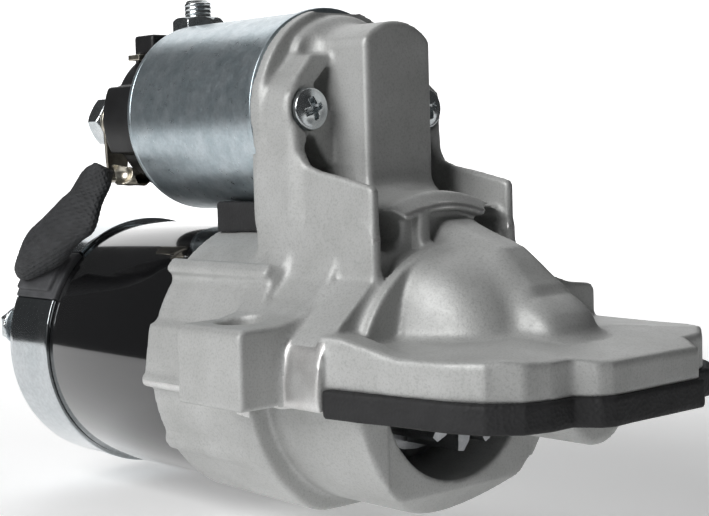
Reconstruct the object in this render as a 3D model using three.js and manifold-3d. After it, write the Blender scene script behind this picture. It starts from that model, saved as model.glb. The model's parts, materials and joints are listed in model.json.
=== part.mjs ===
// Starter motor with a planetary reduction gear and a piggyback solenoid.
//
// Frame: the motor axis is the X axis, +X points along the output shaft to the nose, and +Z points
// from the motor to the solenoid. The origin is on the motor axis, in the plane of the mounting
// flange. All lengths are millimetres.

import * as THREE from 'three';
import { mergeVertices } from 'three/addons/utils/BufferGeometryUtils.js';
import Module from 'manifold-3d';

const wasm = await Module();
wasm.setup();

// ---- driving dimensions -------------------------------------------------------------------------

const GAP = 0.3;                      // air between neighbouring pieces

// motor
const YOKE = { rear: -113.3, front: -60.3, radius: 35.9, wall: 2.5 };
const COVER = { rear: -137.7, front: -113.6, radius: 36.6, wall: 2.2, bossRadius: 9.2 };
const BOLT = { circle: 30.6, angle: 170, radius: 2.4, hole: 2.9, headRadius: 5.8, headHeight: 4 };
const SHAFT_RADIUS = 4;
const CORE = { rear: -106, front: -68, radius: 25.5, slots: 16, slotDepth: 8, slotWidth: 3.6 };
const MAGNET = { count: 6, inner: 26.3, outer: 33.1, rear: -109, front: -65, span: 42 };
const COMMUTATOR = { rear: -126, front: -112.6, radius: 13, bars: 22 };
const BRUSH = { rear: -123, front: -115, width: 8, inner: 13.4, outer: 24, firstAngle: 35 };

// planetary gear set
const GEAR = { module: 1.1, sun: 11, planet: 16, ring: 43, rear: -57, front: -46.6, backlash: 0.35 };
const PLANET_CIRCLE = GEAR.module * (GEAR.sun + GEAR.planet) / 2;
const RING_RADIUS = 27;

// output shaft, clutch and pinion
const OUTPUT = { radius: 6, carrierRear: -45.4, carrierFront: -41.6, noseStart: 40.6, end: 57, noseRadius: 5 };
const PINION = { module: 2.6, teeth: 11, rear: 1, front: 19 };
const CLUTCH = { grooveRear: -29.4, grooveFront: -22.6, front: 0.4, radius: 21.4 };
const DRIVE_TRAVEL = 13.9;

// drive-end housing
const BARREL = { rear: -60, front: -17, rearRadius: 37.6, frontRadius: 38.9, bottom: -35.4 };
const NOSE = { front: 17, radius: 33.6, opening: 24.35 };
const PILOT = { radius: 42.4, front: 13, rimRadius: 45.6, low: -3 };
const NECK = { halfWidth: 24.3, wall: 2.3, rear: -30 };
const TOWER = { front: -2.4, halfWidth: 11, sideTop: 82.7, top: 87.4 };
const PLATE = { low: 2, top: 13.2, raised: 13.7 };
const LEFT_LUG = { rear: -24.5, front: 0, side: -54, low: -2.7, top: 16, holeX: -14.5, holeY: -42.3 };
const RIGHT_LUG = { rear: -11.5, front: 13, side: 55.8, low: -2.7, top: 19, holeX: 1, holeY: 46.4 };
const LUG_HOLE = 5.6;
const HOOD_END = 60;

// solenoid
const SOLENOID_Z = 66.15;
const SOLENOID = { rear: -84.1, front: -28.4, radius: 26, wall: 1.8, flangeRadius: 26.9, frontWall: -33 };
const CAP = { front: -84.4, rear: -99.6, rimRadius: 25, radius: 20.4, inner: 18.4, hollowEnd: -98.1 };
const CAP_BOSS = { rear: -103.5, radius: 21.4, from: 153, to: 208 };
const SCREW = { face: -15, headRadius: 5.15, headHeight: 3.1, radius: 2.2 };
const SCREW_PLACES = [-19.3, 20.1];
const BATTERY = { x: -93.3, y: 6.3, top: 34.2, radius: 4, nutLow: 22.9, nutHigh: 29.2 };
const MOTOR_TERMINAL = { y: -14.4, z: -0.35, radius: 3.4, end: -112, nutRear: -111.5, nutFront: -105.4 };
const NUT_CORNERS = 15;
const PLUNGER = { rear: -52, front: -34, radius: 8.5, bore: 6.2, boreEnd: -40 };

// shift lever
const PIVOT = { x: -19, z: 38.5, radius: 2 };
const LEVER_LEAN = Math.atan((DRIVE_TRAVEL / 2) / PIVOT.z);

// ---- helpers ------------------------------------------------------------------------------------

const degrees = Math.PI / 180;

/** A closed BufferGeometry as a solid for joining and cutting, turned face-out if need be. */
function solid(geometry) {
  geometry.deleteAttribute('normal');
  geometry.deleteAttribute('uv');
  const merged = mergeVertices(geometry, 1e-4);
  const corners = merged.attributes.position.array;
  const all = merged.index.array;
  const kept = [];
  let volume = 0;
  for (let i = 0; i < all.length; i += 3) {
    const [a, b, c] = [all[i], all[i + 1], all[i + 2]];
    if (a === b || b === c || c === a) continue;
    kept.push(a, b, c);
    const [p, q, r] = [a, b, c].map((k) => new THREE.Vector3().fromArray(corners, 3 * k));
    volume += p.dot(q.cross(r));
  }
  if (volume < 0) kept.reverse();
  const mesh = new wasm.Mesh({
    numProp: 3,
    vertProperties: new Float32Array(corners),
    triVerts: new Uint32Array(kept),
  });
  return new wasm.Manifold(mesh);
}

/** Joins any number of solids. */
function join(...pieces) {
  return pieces.flat().reduce((whole, piece) => whole.add(piece));
}

/** Cuts every one of the tools from a body. */
function cut(body, ...tools) {
  return tools.flat().reduce((rest, tool) => rest.subtract(tool), body);
}

/** A THREE.Shape through a list of [u, v] corners. */
function outline(corners) {
  return new THREE.Shape(corners.map(([u, v]) => new THREE.Vector2(u, v)));
}

const X_FRAME = new THREE.Matrix4().makeBasis(
  new THREE.Vector3(0, 1, 0), new THREE.Vector3(0, 0, 1), new THREE.Vector3(1, 0, 0));
const Y_FRAME = new THREE.Matrix4().makeBasis(
  new THREE.Vector3(1, 0, 0), new THREE.Vector3(0, 0, 1), new THREE.Vector3(0, -1, 0));

/** A shape in the XY plane, extruded upward from z = 0. */
function extruded(shape, depth, curveSegments) {
  return new THREE.ExtrudeGeometry(shape, { depth, bevelEnabled: false, curveSegments });
}

/** A shape in the YZ plane, extruded from x = low to x = high. */
function alongX(shape, low, high, curveSegments = 12) {
  const geometry = extruded(shape, high - low, curveSegments);
  return solid(geometry.applyMatrix4(X_FRAME).translate(low, 0, 0));
}

/** A shape in the XZ plane, extruded from y = low to y = high. */
function alongY(shape, low, high, curveSegments = 12) {
  const geometry = extruded(shape, high - low, curveSegments);
  return solid(geometry.applyMatrix4(Y_FRAME).translate(0, high, 0));
}

/** A shape in the XY plane, extruded from z = low to z = high. */
function alongZ(shape, low, high, curveSegments = 12) {
  return solid(extruded(shape, high - low, curveSegments).translate(0, 0, low));
}

/** A block between two opposite corners. */
function block([x0, y0, z0], [x1, y1, z1]) {
  const geometry = new THREE.BoxGeometry(x1 - x0, y1 - y0, z1 - z0);
  return solid(geometry.translate((x0 + x1) / 2, (y0 + y1) / 2, (z0 + z1) / 2));
}

/** A solid of revolution about a line along X; the profile is [x, radius] pairs. */
function turned(profile, segments = 24, y = 0, z = 0) {
  const points = profile.map(([x, radius]) => new THREE.Vector2(radius, x));
  const geometry = new THREE.LatheGeometry(points, segments);
  return solid(geometry.rotateZ(-Math.PI / 2).translate(0, y, z));
}

/** A cylinder along X. */
function rodX(x0, x1, radius, segments = 24, y = 0, z = 0) {
  return turned([[x0, 0], [x0, radius], [x1, radius], [x1, 0]], segments, y, z);
}

/** A tube along X. */
function tubeX(x0, x1, inner, outer, segments = 24) {
  return turned([[x0, inner], [x0, outer], [x1, outer], [x1, inner], [x0, inner]], segments);
}

/** A cylinder along Y. */
function rodY(y0, y1, radius, segments = 20, x = 0, z = 0) {
  const geometry = new THREE.CylinderGeometry(radius, radius, y1 - y0, segments);
  return solid(geometry.translate(x, (y0 + y1) / 2, z));
}

/** A cylinder along Z. */
function rodZ(z0, z1, radius, segments = 20, x = 0, y = 0) {
  const geometry = new THREE.CylinderGeometry(radius, radius, z1 - z0, segments);
  return solid(geometry.rotateX(Math.PI / 2).translate(x, y, (z0 + z1) / 2));
}

/** A point in the YZ plane at an angle in degrees from +Y towards +Z. */
function polar(radius, angle) {
  return [radius * Math.cos(angle * degrees), radius * Math.sin(angle * degrees)];
}

/** The sector of an annulus in the YZ plane, between two angles in degrees. */
function sector(inner, outer, from, to) {
  const shape = new THREE.Shape();
  shape.absarc(0, 0, outer, from * degrees, to * degrees, false);
  shape.absarc(0, 0, inner, to * degrees, from * degrees, true);
  return shape;
}

/** One gear's outline: straight-flanked teeth whose flanks follow the pressure angle at the pitch circle. */
function gearOutline(teeth, module, { addendum = 1, dedendum = 1.2, thinning = 0, turn = 0 } = {}) {
  const pitch = module * teeth / 2;
  const quarter = Math.PI / (2 * teeth) - thinning / (2 * pitch);
  const slope = Math.tan(20 * degrees) * module / pitch;
  const tipHalf = Math.max(quarter - slope * addendum * 1.15, 0.12 * quarter);
  const rootHalf = Math.min(quarter + slope * dedendum * 0.7, 0.93 * Math.PI / teeth);
  const corners = [];
  for (let tooth = 0; tooth < teeth; tooth += 1) {
    const middle = turn + tooth * 2 * Math.PI / teeth;
    const ring = [
      [pitch - dedendum * module, -rootHalf], [pitch, -quarter], [pitch + addendum * module, -tipHalf],
      [pitch + addendum * module, tipHalf], [pitch, quarter], [pitch - dedendum * module, rootHalf],
    ];
    for (const [radius, offset] of ring) {
      corners.push([radius * Math.cos(middle + offset), radius * Math.sin(middle + offset)]);
    }
  }
  return corners;
}

/** A round wire wound into a helix about the local Z axis, as a swept tube. */
function helix(radius, wire, length, turns, stepsPerTurn) {
  const points = [];
  for (let step = 0; step <= turns * stepsPerTurn; step += 1) {
    const angle = step / stepsPerTurn * 2 * Math.PI;
    const z = length * step / (turns * stepsPerTurn);
    points.push(new THREE.Vector3(radius * Math.cos(angle), radius * Math.sin(angle), z));
  }
  const section = new THREE.Shape();
  section.absarc(0, 0, wire, 0, 2 * Math.PI, false);
  const path = new THREE.CatmullRomCurve3(points);
  return new THREE.ExtrudeGeometry(section, {
    steps: turns * stepsPerTurn, extrudePath: path, curveSegments: 2,
  });
}

/** A tube of round or oval section along a smooth path. */
function swept(points, halfWidth, halfHeight, steps) {
  const section = new THREE.Shape();
  section.absellipse(0, 0, halfWidth, halfHeight, 0, 2 * Math.PI, false);
  const path = new THREE.CatmullRomCurve3(points.map((p) => new THREE.Vector3(...p)));
  return solid(new THREE.ExtrudeGeometry(section, { steps, extrudePath: path, curveSegments: 6 }));
}

/** An oval solid through a list of { centre, across, halfWidth, halfThickness } sections. */
function lofted(sections, segments = 20) {
  const rows = sections.length - 1;
  const centres = sections.map(({ centre }) => new THREE.Vector3(...centre));
  const geometry = new THREE.CylinderGeometry(1, 1, 1, segments, rows);
  const place = geometry.attributes.position;
  for (let i = 0; i < place.count; i += 1) {
    const row = Math.round((0.5 - place.getY(i)) * rows);
    const { across, halfWidth, halfThickness } = sections[row];
    const path = centres[Math.min(row + 1, rows)].clone().sub(centres[Math.max(row - 1, 0)]);
    const wide = new THREE.Vector3(...across).normalize();
    const thick = new THREE.Vector3().crossVectors(path, wide).normalize();
    const point = centres[row].clone()
      .addScaledVector(wide, place.getX(i) * halfWidth)
      .addScaledVector(thick, place.getZ(i) * halfThickness);
    place.setXYZ(i, point.x, point.y, point.z);
  }
  return solid(geometry);
}

// ---- materials ----------------------------------------------------------------------------------

const FINISH = {
  castAluminium: [0xb4b0aa, 0.6, 0.7],
  zinc: [0xc2cbd0, 0.28, 1],
  blackPaint: [0x0b0b0c, 0.25, 0],
  blackPlastic: [0x151517, 0.6, 0],
  rubber: [0x2c2c2e, 0.9, 0],
  steel: [0x9b9da0, 0.35, 1],
  magnet: [0x3a3b3e, 0.7, 0.2],
  copper: [0xb06a3c, 0.35, 1],
  bronze: [0xa98a4e, 0.4, 1],
  carbon: [0x2b2a2b, 0.7, 0.1],
  sleeve: [0x1c1c1d, 0.85, 0],
  tinned: [0xc9c5b6, 0.35, 1],
};

/** A named mesh with a material of its own. */
function part(name, body, finish) {
  const { vertProperties, triVerts } = body.getMesh();
  const geometry = new THREE.BufferGeometry();
  geometry.setAttribute('position', new THREE.BufferAttribute(new Float32Array(vertProperties), 3));
  geometry.setIndex(new THREE.BufferAttribute(new Uint32Array(triVerts), 1));
  const [color, roughness, metalness] = FINISH[finish];
  const mesh = new THREE.Mesh(geometry, new THREE.MeshStandardMaterial({ color, roughness, metalness }));
  mesh.name = name;
  return mesh;
}

// ---- drive-end housing --------------------------------------------------------------------------

const [BOLT_Y, BOLT_Z] = polar(BOLT.circle, BOLT.angle);
const BOLT_PLACES = [[BOLT_Y, BOLT_Z], [-BOLT_Y, -BOLT_Z]];

/** Barrel around the gear set, with its ribs, and the round nose in front of it. */
function barrelAndNose() {
  const round = turned([
    [BARREL.rear, 0], [BARREL.rear, BARREL.rearRadius], [BARREL.front, BARREL.frontRadius],
    [BARREL.front, NOSE.radius], [NOSE.front, NOSE.radius - 0.4], [NOSE.front, 0],
  ], 40);
  const ribs = [
    [138, 41.3, 4.4, -60, -18], [171, 39.3, 13, -60, -20], [-176.5, 40.9, 3.4, -60, -24],
    [-149, 39.2, 4, -60, -19], [42, 41.3, 4.4, -60, -18], [9, 39.3, 13, -60, -20],
    [-3.5, 40.9, 3.4, -60, -24], [-31, 39.2, 4, -60, -19],
  ].map(([angle, height, width, rear, front]) => {
    const half = width / 2 / height / degrees;
    return alongX(sector(34, height, angle - half, angle + half), rear, front, 4);
  });
  const flatUnder = block([-4, -40, -60], [30, 40, -25.5]);
  const slant = alongY(outline([[17.5, -25.5], [30, -25.5], [30, -50], [1, -50], [8, -34.4]]), -40, 40);
  return cut(join(round, ribs), slant.intersect(flatUnder));
}

/** Half-disc pilot, with its flanks running up to the side walls. */
function pilot() {
  const low = Math.asin(-PILOT.low / PILOT.radius);
  const shape = new THREE.Shape();
  shape.absarc(0, 0, PILOT.radius, -low, 17 * degrees, false);
  shape.lineTo(38, PLATE.raised);
  shape.lineTo(NECK.halfWidth, 26);
  shape.lineTo(-NECK.halfWidth, 26);
  shape.lineTo(-38, PLATE.raised);
  shape.absarc(0, 0, PILOT.radius, 163 * degrees, Math.PI + low, false);
  return alongX(shape, -2, PILOT.front, 8);
}

/** Neck between the barrel and the solenoid: its walls, the round deck and the pilot arch between them. */
function neck() {
  const side = outline([
    [NECK.rear, 20], [NECK.rear, 66], [-26.5, 71.3], [-14, 68.3], [-13.7, 58.7], [-11.6, 55], [-7.3, 51.8],
    [1.7, 49.7], [12.7, 47.1], [PILOT.front, 46.4], [PILOT.front, 20],
  ]);
  const core = new THREE.Shape();
  core.moveTo(-NECK.halfWidth + 0.5, 20);
  core.lineTo(NECK.halfWidth - 0.5, 20);
  const end = Math.acos((NECK.halfWidth - 0.5) / PILOT.rimRadius);
  core.absarc(0, 0, PILOT.rimRadius, end, Math.PI - end, false);
  const deck = alongX(core, NECK.rear, 9.8, 10);
  const rim = turned([[9.7, 0], [9.7, PILOT.rimRadius], [PILOT.front, PILOT.radius], [PILOT.front, 0]], 64);
  const rimPart = rim.intersect(block([9.7, -NECK.halfWidth, 24], [PILOT.front, NECK.halfWidth, 60]));
  const walls = [-1, 1].map((sign) => {
    const [low, high] = sign < 0 ? [-NECK.halfWidth, -NECK.halfWidth + NECK.wall]
      : [NECK.halfWidth - NECK.wall, NECK.halfWidth];
    return alongY(side, low, high);
  });
  return join(deck, rimPart, walls);
}

/** Lever tower, with a fillet at its foot. */
function tower() {
  const rise = TOWER.top - TOWER.sideTop;
  const crown = (TOWER.halfWidth ** 2 + rise ** 2) / (2 * rise);
  const half = Math.asin(TOWER.halfWidth / crown);
  const shape = new THREE.Shape();
  shape.moveTo(-TOWER.halfWidth, 35);
  shape.lineTo(TOWER.halfWidth, 35);
  shape.absarc(0, TOWER.top - crown, crown, Math.PI / 2 - half, Math.PI / 2 + half, false);
  const column = alongX(shape, -27.8, TOWER.front, 6);
  const foot = new THREE.Shape();
  const radius = 9;
  const deckTop = 44.6;
  foot.moveTo(TOWER.front - 1, deckTop - 5);
  foot.lineTo(TOWER.front + radius, deckTop - 5);
  foot.lineTo(TOWER.front + radius, deckTop);
  foot.absarc(TOWER.front + radius, deckTop + radius, radius, -Math.PI / 2, -Math.PI, true);
  foot.lineTo(TOWER.front - 1, deckTop + radius);
  return join(column, alongY(foot, -TOWER.halfWidth, TOWER.halfWidth, 6));
}

/** Seat for the solenoid, its two screw bosses and the shoulders that join them to the tower. */
function solenoidSeat() {
  const disc = rodX(-28, -24.2, 26.9, 48, 0, SOLENOID_Z);
  const bosses = SCREW_PLACES.map((y) => rodX(-28, SCREW.face, 6.4, 20, y, SOLENOID_Z));
  const shoulders = [-1, 1].map((sign) => alongZ(outline([
    [-26, sign * 8], [-26, sign * 22], [-23, sign * 17.5], [-16, sign * 13], [-10, sign * 10.8], [-10, sign * 8],
  ]), 57, 76));
  const floors = [-1, 1].map((sign) => block(
    [-28, Math.min(sign * 10, sign * 23), 57.5], [-17.5, Math.max(sign * 10, sign * 23), 66]));
  return join(disc, bosses, shoulders, floors);
}

/** Mounting lugs with the flange that ties them to the barrel. */
function lugs() {
  const left = outline([
    [-30, LEFT_LUG.low], [LEFT_LUG.side, LEFT_LUG.low], [LEFT_LUG.side, LEFT_LUG.top - 2],
    [LEFT_LUG.side + 2, LEFT_LUG.top], [-40, LEFT_LUG.top], [-33, 19.4], [-28, 24], [-24.3, 30], [-20, 30],
    [-20, 0],
  ]);
  const right = outline([
    [30, RIGHT_LUG.low], [20, 0], [20, 30], [24.3, 28], [33.6, 23.9], [50, RIGHT_LUG.top],
    [RIGHT_LUG.side - 1.5, RIGHT_LUG.top - 1], [RIGHT_LUG.side, RIGHT_LUG.top - 3],
    [RIGHT_LUG.side, RIGHT_LUG.low],
  ]);
  return join(alongX(left, LEFT_LUG.rear, LEFT_LUG.front), alongX(right, RIGHT_LUG.rear, RIGHT_LUG.front));
}

const PLATE_EDGE = [
  [12, -39.5], [34, -36.5], [46, -34.5], [54, -32], [60, -27], [62, -21], [62.5, -14.5], [67, -8.5],
  [68, 24], [61, 28.5], [60, 36], [53, 45.5], [47, 50], [35, 50], [12, 55.5],
];
const HOOD_PLAN = [
  [10, -21.3], [19.2, -21.1], [30.3, -19.6], [38.9, -15.8], [45.3, -10.1], [49.7, -1.9], [51.9, 5], [49.8, 11.5],
  [45.5, 16.7], [39.6, 24.6], [30, 28], [10, 30],
];
const HOOD_CREST = [
  [10, 3], [10, 38.1], [13, 38.1], [20, 35.5], [25.5, 33.8], [29.7, 32.2], [33.7, 28.9], [36.7, 26.2],
  [39.8, 23.7], [41.7, 21.5], [48.5, 18.4], [51.3, 16.4], [54, 13], [54, 3],
];
const DOME = [
  [10, 0], [10, 33.2], [13, 33], [20, 32.2], [25, 30.8], [30, 28.2], [35, 24.1], [38, 20.7], [40, 17.8],
  [42.5, 13], [44.5, 6], [45, 0],
];

/** Hood over the pinion: a dome about the shaft with a flat-topped horn that falls to the front. */
function dome() {
  const horn = alongY(outline(HOOD_CREST), -30, 40);
  const flanks = alongX(outline([[-14.1, 3], [-1.4, 38.1], [-1.4, 40], [11, 40], [11, 38.1], [23.7, 3]]), 9, 60);
  const plan = alongZ(outline(HOOD_PLAN), PLATE.low, 40);
  return join(turned(DOME, 56), horn.intersect(flanks)).intersect(plan);
}

/** Plate around the hood: its top falls off towards both sides and the front. */
function plate() {
  const { low, top } = PLATE;
  const across = alongX(outline([
    [-41, low], [-41, 10.4], [-36, 10.8], [-8.6, top], [22.6, top], [50, 10.8], [56.5, 10.2], [56.5, low],
  ]), 10, 70);
  const lengthways = alongY(outline([
    [10, low], [10, top], [44.2, top], [67, 10], [70, 9.6], [70, low],
  ]), -42, 57);
  return alongZ(outline(PLATE_EDGE), low, top).intersect(across).intersect(lengthways);
}

/** Plate and hood, with the raised strip beside the pilot and the boss for the nose bush. */
function hood() {
  const stripSide = alongY(outline([[12, 3], [12, 14.4], [17, 14.2], [27, 12.1], [34, 11], [34, 3]]), -42, -31);
  const strip = stripSide.intersect(alongZ(outline(PLATE_EDGE), 3, 15));
  const boss = turned([
    [36, 0], [36, 9.4], [40, 10.5], [HOOD_END - 4, 10.5], [HOOD_END - 2, 8.9], [HOOD_END - 2, 0],
  ]);
  return join(dome(), plate(), strip, boss);
}

/** Everything that is hollow in the housing. */
function housingHollows() {
  const bore = turned([
    [-61, 0], [-61, RING_RADIUS + GAP], [-34.6, RING_RADIUS + GAP], [-34.6, NOSE.opening],
    [20, NOSE.opening], [24, 22.5], [38, 18], [39.5, 16], [39.5, 8.3], [57.3, 8.3], [57.3, 0],
  ], 40);
  const underHood = block([NOSE.front, -24.3, -40], [39.5, 24.3, 0.5]);
  const leverRoom = block([-29, -20.3, 0], [-8, 20.3, 36]);
  const towerRoom = block([-27.9, -8.2, 30], [-6, 8.2, 82]);
  const plungerHole = rodX(-29, -20, 10, 24, 0, SOLENOID_Z);
  const solenoidSpace = rodX(-31, -28, SOLENOID.flangeRadius + GAP, 40, 0, SOLENOID_Z);
  const headSpaces = SCREW_PLACES.map((y) => rodX(SCREW.face, -8, SCREW.headRadius + 0.6, 20, y, SOLENOID_Z));
  const screwHoles = SCREW_PLACES.map((y) => rodX(-29, -14, 2.6, 12, y, SOLENOID_Z));
  const boltHoles = BOLT_PLACES.map(([y, z]) => rodX(-61, -33, BOLT.hole, 14, y, z));
  const pivotHole = rodY(-15, 15, PIVOT.radius + GAP, 14, PIVOT.x, PIVOT.z);
  const frontHoles = [-1, 1].map((sign) => rodX(-4, 14, 4.75, 20, sign * 17.3, 36.7));
  const lugHoles = [LEFT_LUG, RIGHT_LUG].map((lug) => rodZ(-4, 24, LUG_HOLE, 20, lug.holeX, lug.holeY));
  const sidePockets = [-1, 1].map((sign) => block(
    [-25, Math.min(sign * 13.5, sign * 21.4), 46.5], [-8, Math.max(sign * 13.5, sign * 21.4), 57.5]));
  const face = new THREE.Shape();
  face.absarc(0, 0, PILOT.radius - 1.6, 58 * degrees, 122 * degrees, false);
  face.absarc(0, 0, 26, 122 * degrees, 58 * degrees, true);
  const pilotFace = cut(alongX(face, 10.4, 14, 10), block([9, -9.3, 20], [15, -5.7, 50]));
  return [bore, underHood, leverRoom, towerRoom, plungerHole, solenoidSpace, pivotHole, pilotFace,
    ...headSpaces, ...screwHoles, ...boltHoles, ...frontHoles, ...lugHoles, ...sidePockets];
}

function driveEndHousing() {
  const body = join(barrelAndNose(), pilot(), neck(), tower(), solenoidSeat(), lugs(), hood());
  const belowBarrel = block([BARREL.rear - 1, -45, -50], [BARREL.front + 0.3, 45, BARREL.bottom]);
  return cut(body, belowBarrel, ...housingHollows());
}

// ---- seals --------------------------------------------------------------------------------------

/** Foam strip under the plate's edge. */
function bellSeal() {
  const outer = PLATE_EDGE.map(([x, y]) => [x < 13 ? 13.4 : x + 1.2 * Math.sign(x - 40), y * 1.045]);
  const inner = outer.map(([x, y]) => [x < 14 ? x : 13.4 + (x - 13.4) * 0.94, y * 0.83]).reverse();
  return alongZ(outline([...outer, ...inner]), PLATE.low - 6.2, PLATE.low - GAP);
}

/** Rubber block that closes the lever opening between the barrel and the solenoid. */
function leverSeal() {
  const slab = block([-58, -16, 30], [NECK.rear - 0.8, 16, 43]);
  const barrel = turned([
    [BARREL.rear, 0], [BARREL.rear, BARREL.rearRadius + GAP], [BARREL.front, BARREL.frontRadius + GAP],
    [BARREL.front, 0],
  ], 64);
  const solenoid = rodX(-70, -20, SOLENOID.radius + GAP, 64, 0, SOLENOID_Z);
  return cut(slab, barrel, solenoid);
}

// ---- yoke, magnets, cover -----------------------------------------------------------------------

function yoke() {
  return tubeX(YOKE.rear, YOKE.front, YOKE.radius - YOKE.wall, YOKE.radius, 44);
}

function magnet() {
  return alongX(sector(MAGNET.inner, MAGNET.outer, -MAGNET.span / 2, MAGNET.span / 2),
    MAGNET.rear, MAGNET.front, 5);
}

const GROMMET = { from: 131, to: 156, rear: -135.1, inner: 33.8 };

function rearCover() {
  const { rear, front, radius, wall, bossRadius } = COVER;
  const shell = turned([
    [rear, 0], [rear, radius - 3], [rear + 0.9, radius - 1.4], [rear + 2.6, radius], [front, radius],
    [front, radius - wall], [rear + wall, radius - wall], [rear + wall, bossRadius], [-129, bossRadius],
    [-129, 7.3], [-136, 7.3], [-136, 0],
  ], 44);
  const raised = turned([[rear - 1.4, 0], [rear - 1.4, 9.5], [rear + 0.5, 11.5], [rear + 0.5, 0]], 24);
  const boltHoles = BOLT_PLACES.map(([y, z]) => rodX(-140, -134, BOLT.hole, 14, y, z));
  const notch = alongX(sector(GROMMET.inner - 1, 40, GROMMET.from - 0.6, GROMMET.to + 0.6),
    GROMMET.rear - GAP, front + 1, 4);
  return cut(join(shell, raised), boltHoles, notch);
}

function leadGrommet() {
  const wedge = alongX(sector(GROMMET.inner, COVER.radius + 0.4, GROMMET.from, GROMMET.to),
    GROMMET.rear, COVER.front, 5);
  const padShape = sector(COVER.radius - 1, COVER.radius + 2, GROMMET.from + 3, GROMMET.to - 3);
  const pad = alongX(padShape, -134, -116, 4);
  return join(wedge, pad);
}

function throughBolt() {
  const shank = rodX(COVER.rear - 0.5, -35, BOLT.radius, 14);
  const head = rodX(COVER.rear - GAP - BOLT.headHeight, COVER.rear - GAP, BOLT.headRadius, 6);
  const washer = rodX(COVER.rear - GAP - 0.9, COVER.rear - GAP, BOLT.headRadius + 0.4, 20);
  return join(shank, head, washer);
}

// ---- armature -----------------------------------------------------------------------------------

function armatureShaft() {
  const shaft = rodX(-135, -39.6, SHAFT_RADIUS, 20);
  const teeth = gearOutline(GEAR.sun, GEAR.module, { thinning: GEAR.backlash });
  return join(shaft, alongX(outline(teeth), GEAR.rear, GEAR.front));
}

/** Slotted stack of laminations. */
function armatureCore() {
  const corners = [];
  const half = Math.asin(CORE.slotWidth / 2 / CORE.radius);
  const floor = CORE.radius - CORE.slotDepth;
  const floorHalf = Math.asin(CORE.slotWidth / 2 / floor);
  for (let slot = 0; slot < CORE.slots; slot += 1) {
    const middle = slot * 2 * Math.PI / CORE.slots;
    const next = middle + Math.PI / CORE.slots;
    for (const [radius, angle] of [[CORE.radius, middle - half], [floor, middle - floorHalf],
      [floor, middle + floorHalf], [CORE.radius, middle + half], [CORE.radius, next]]) {
      corners.push([radius * Math.cos(angle), radius * Math.sin(angle)]);
    }
  }
  return cut(alongX(outline(corners), CORE.rear, CORE.front), rodX(-107, -67, SHAFT_RADIUS + GAP, 20));
}

/** End turns of the winding, as one ring on each side of the core. */
function endWinding(rear, front) {
  const middle = (rear + front) / 2;
  return turned([
    [rear, 6], [rear, 19], [middle, 23.5], [front, 22], [front, 6], [rear, 6],
  ], 24);
}

function commutator() {
  const { rear, front, radius, bars } = COMMUTATOR;
  const corners = [];
  for (let bar = 0; bar < bars; bar += 1) {
    const start = bar * 2 * Math.PI / bars;
    const pitch = 2 * Math.PI / bars;
    for (const [r, share] of [[radius, 0.08], [radius, 0.92], [radius - 0.9, 0.93], [radius - 0.9, 1.07]]) {
      corners.push([r * Math.cos(start + share * pitch), r * Math.sin(start + share * pitch)]);
    }
  }
  return cut(alongX(outline(corners), rear, front), rodX(rear - 1, front + 1, SHAFT_RADIUS + GAP, 20));
}

// ---- brushes ------------------------------------------------------------------------------------

function brush() {
  return block([BRUSH.rear, BRUSH.inner, -BRUSH.width / 2], [BRUSH.front, BRUSH.outer, BRUSH.width / 2]);
}

function brushSpring() {
  const coil = helix(2.6, 0.45, 5.7, 2.5, 8);
  return solid(coil.rotateX(-Math.PI / 2).translate(0, BRUSH.outer + 0.8, 0));
}

/** Plate with a box for each brush: two side walls and a stop behind the spring. */
function brushHolder() {
  const plate = cut(rodX(-126.6, -124.6, 33.4, 40), rodX(-128, -123, COMMUTATOR.radius + 1, 32));
  const boxes = [0, 1, 2, 3].map((index) => {
    const half = BRUSH.width / 2 + GAP;
    const wall = [
      block([-124.8, 15.4, half], [-114.5, 32.4, half + 1.1]),
      block([-124.8, 15.4, -half - 1.1], [-114.5, 32.4, -half]),
      block([-124.8, 31.4, -half - 0.5], [-114.5, 32.4, half + 0.5]),
    ];
    return join(wall).rotate([BRUSH.firstAngle + 90 * index, 0, 0]);
  });
  const holes = BOLT_PLACES.map(([y, z]) => rodX(-128, -123, BOLT.hole, 14, y, z));
  return cut(join(plate, boxes), holes);
}

// ---- planetary gears and output -----------------------------------------------------------------

function ringGear() {
  const teeth = gearOutline(GEAR.ring, GEAR.module,
    { addendum: 1.25, dedendum: 0.9, thinning: -GEAR.backlash, turn: Math.PI / GEAR.ring });
  const blank = rodX(GEAR.rear - 0.9, GEAR.front + 0.6, RING_RADIUS, 48);
  return cut(blank, alongX(outline(teeth), GEAR.rear - 2, GEAR.front + 2));
}

/** A planet, drawn about its own axis, with a tooth space towards the sun. */
function planetGear() {
  const teeth = gearOutline(GEAR.planet, GEAR.module, { thinning: GEAR.backlash });
  return cut(alongX(outline(teeth), GEAR.rear + 0.2, GEAR.front), rodX(-60, -40, 2.6, 14));
}

/** Carrier with its three pins, and the output shaft in one piece with it. */
function outputShaft() {
  const { radius, carrierRear, carrierFront, noseStart, end, noseRadius } = OUTPUT;
  const shaft = turned([
    [carrierRear, 0], [carrierRear, 18.6], [carrierFront, 18.6], [carrierFront, radius], [noseStart, radius],
    [noseStart, noseRadius], [end - 1, noseRadius], [end, noseRadius - 1], [end, 0],
  ], 28);
  const pins = [0, 1, 2].map((index) => {
    const [y, z] = polar(PLANET_CIRCLE, 120 * index);
    return rodX(GEAR.rear + 0.4, carrierRear + 1, 2.3, 12, y, z);
  });
  const pilotBore = rodX(carrierRear - 1, -39, SHAFT_RADIUS + GAP, 20);
  return cut(join(shaft, pins), pilotBore);
}

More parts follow.
